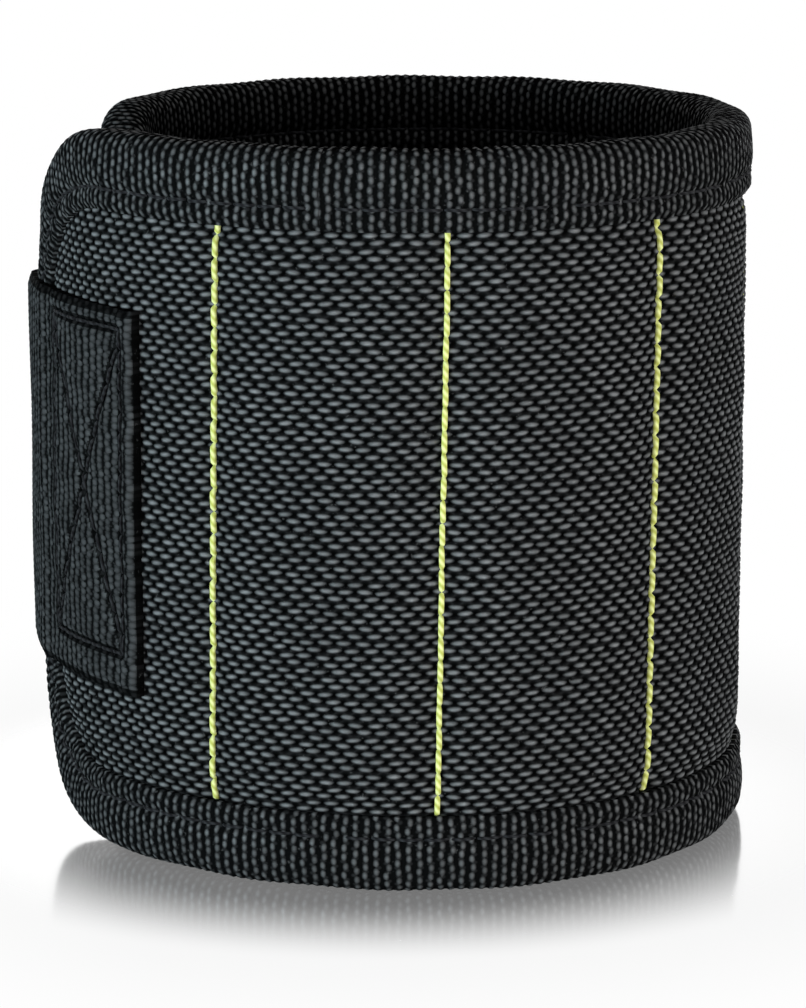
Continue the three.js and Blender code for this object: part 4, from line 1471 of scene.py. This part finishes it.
# %% Make the hook tape and the loop field
TAPE_CORNER = 5.0
TAPE_BASE = 0.5
TAPE_CELL = 0.6
GROUND_STEP = (1.0, 1.0)
HOOK_MARGIN = 3.0
HOOK_PITCH = 1.7
HOOK_ARCH = (0.7, 0.55, 235)
LOOP_WIDTH = 54.0
LOOP_PITCH = 0.95
LOOP_ARCH = (1.0, 0.62, 180)
LOOP_FROM = SEAMS[-1] + 5.0
LOOP_TO = BAND_LENGTH - binding_edge - 6.0
PILE_MARGIN = 1.2
PILE_STRAY = 0.1
PILE_TURN = 0.9
PILE_HEIGHTS = (0.75, 1.15)


def rounded_plan(low, high):
    """A test of whether a point lies inside a rectangle with rounded corners."""
    def inside(x, y):
        dx = max(low[0] + TAPE_CORNER - x, x - high[0] + TAPE_CORNER, 0)
        dy = max(low[1] + TAPE_CORNER - y, y - high[1] + TAPE_CORNER, 0)
        return math.hypot(dx, dy) < TAPE_CORNER
    return inside


def rows_of(low, high, pitch, inside):
    """Places in staggered rows, each a little turned and of its own height."""
    for row, y in enumerate(np.arange(low[1] + PILE_MARGIN, high[1] - PILE_MARGIN, pitch)):
        first = low[0] + PILE_MARGIN + (row % 2) * pitch / 2
        for x in np.arange(first, high[0] - PILE_MARGIN, pitch):
            shift = jitter.normal(0, pitch * PILE_STRAY, 2)
            turn = jitter.uniform(-PILE_TURN, PILE_TURN)
            tall = jitter.uniform(*PILE_HEIGHTS)
            if inside(x + shift[0], y + shift[1]):
                place = Matrix.Translation((x + shift[0], y + shift[1], 0))
                yield place @ Matrix.Rotation(turn, 4, "Z") @ Matrix.Diagonal((1, 1, tall, 1))


def place_loop(s, z, height):
    """On the cover of the inner end."""
    return wrap(s, LAYER_GAP + TAPE_BASE + height, z)


def place_hook(x, z, height):
    """Under the hooked end of the strap, turned to look inwards."""
    radius = strap_radius - LAYER_GAP - TAPE_BASE - height
    plan = outward(peel_angle - x / strap_line) * radius[:, None]
    return np.column_stack([plan + RING_CENTRE, z]) * MM


def tape_counts(x, z):
    """Counts for the ground of a tape."""
    return np.column_stack([x, z]) / TAPE_CELL


FIELDS = {
    "loop_tape": (
        (LOOP_FROM, MIDDLE - LOOP_WIDTH / 2),
        (LOOP_TO, MIDDLE + LOOP_WIDTH / 2),
        (place_loop, "loop_end"),
        (loop_ground, loop_pile),
        ("loop_pile", LOOP_PITCH, LOOP_ARCH),
    ),
    "hook_tape": (
        (HOOK_MARGIN, MIDDLE - STRAP_HALF + HOOK_MARGIN),
        (STRAP_HOOKED - HOOK_MARGIN, MIDDLE + STRAP_HALF - HOOK_MARGIN),
        (place_hook, "strap_tip"),
        (hook_ground, hook_nylon),
        ("hook_rows", HOOK_PITCH, HOOK_ARCH),
    ),
}
for node, (low, high, (place, body), finishes, (pile, pitch, arch)) in FIELDS.items():
    inside = rounded_plan(low, high)
    sheet = closed_sheet(low, high, GROUND_STEP, TAPE_BASE, inside)
    ground = sheet_piece(f"{node}_ground", sheet, tape_counts, place, finishes[0])
    places = rows_of(low, high, pitch, inside)
    field = sewn_piece(pile, arch_mesh(*arch), places, place, finishes[1])
    for piece in (ground, field):
        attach(piece, body)
    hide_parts(node)
    size = ((high[0] - low[0]) * MM, (high[1] - low[1]) * MM)
    print(node, len(field.data.polygons), "faces of pile")
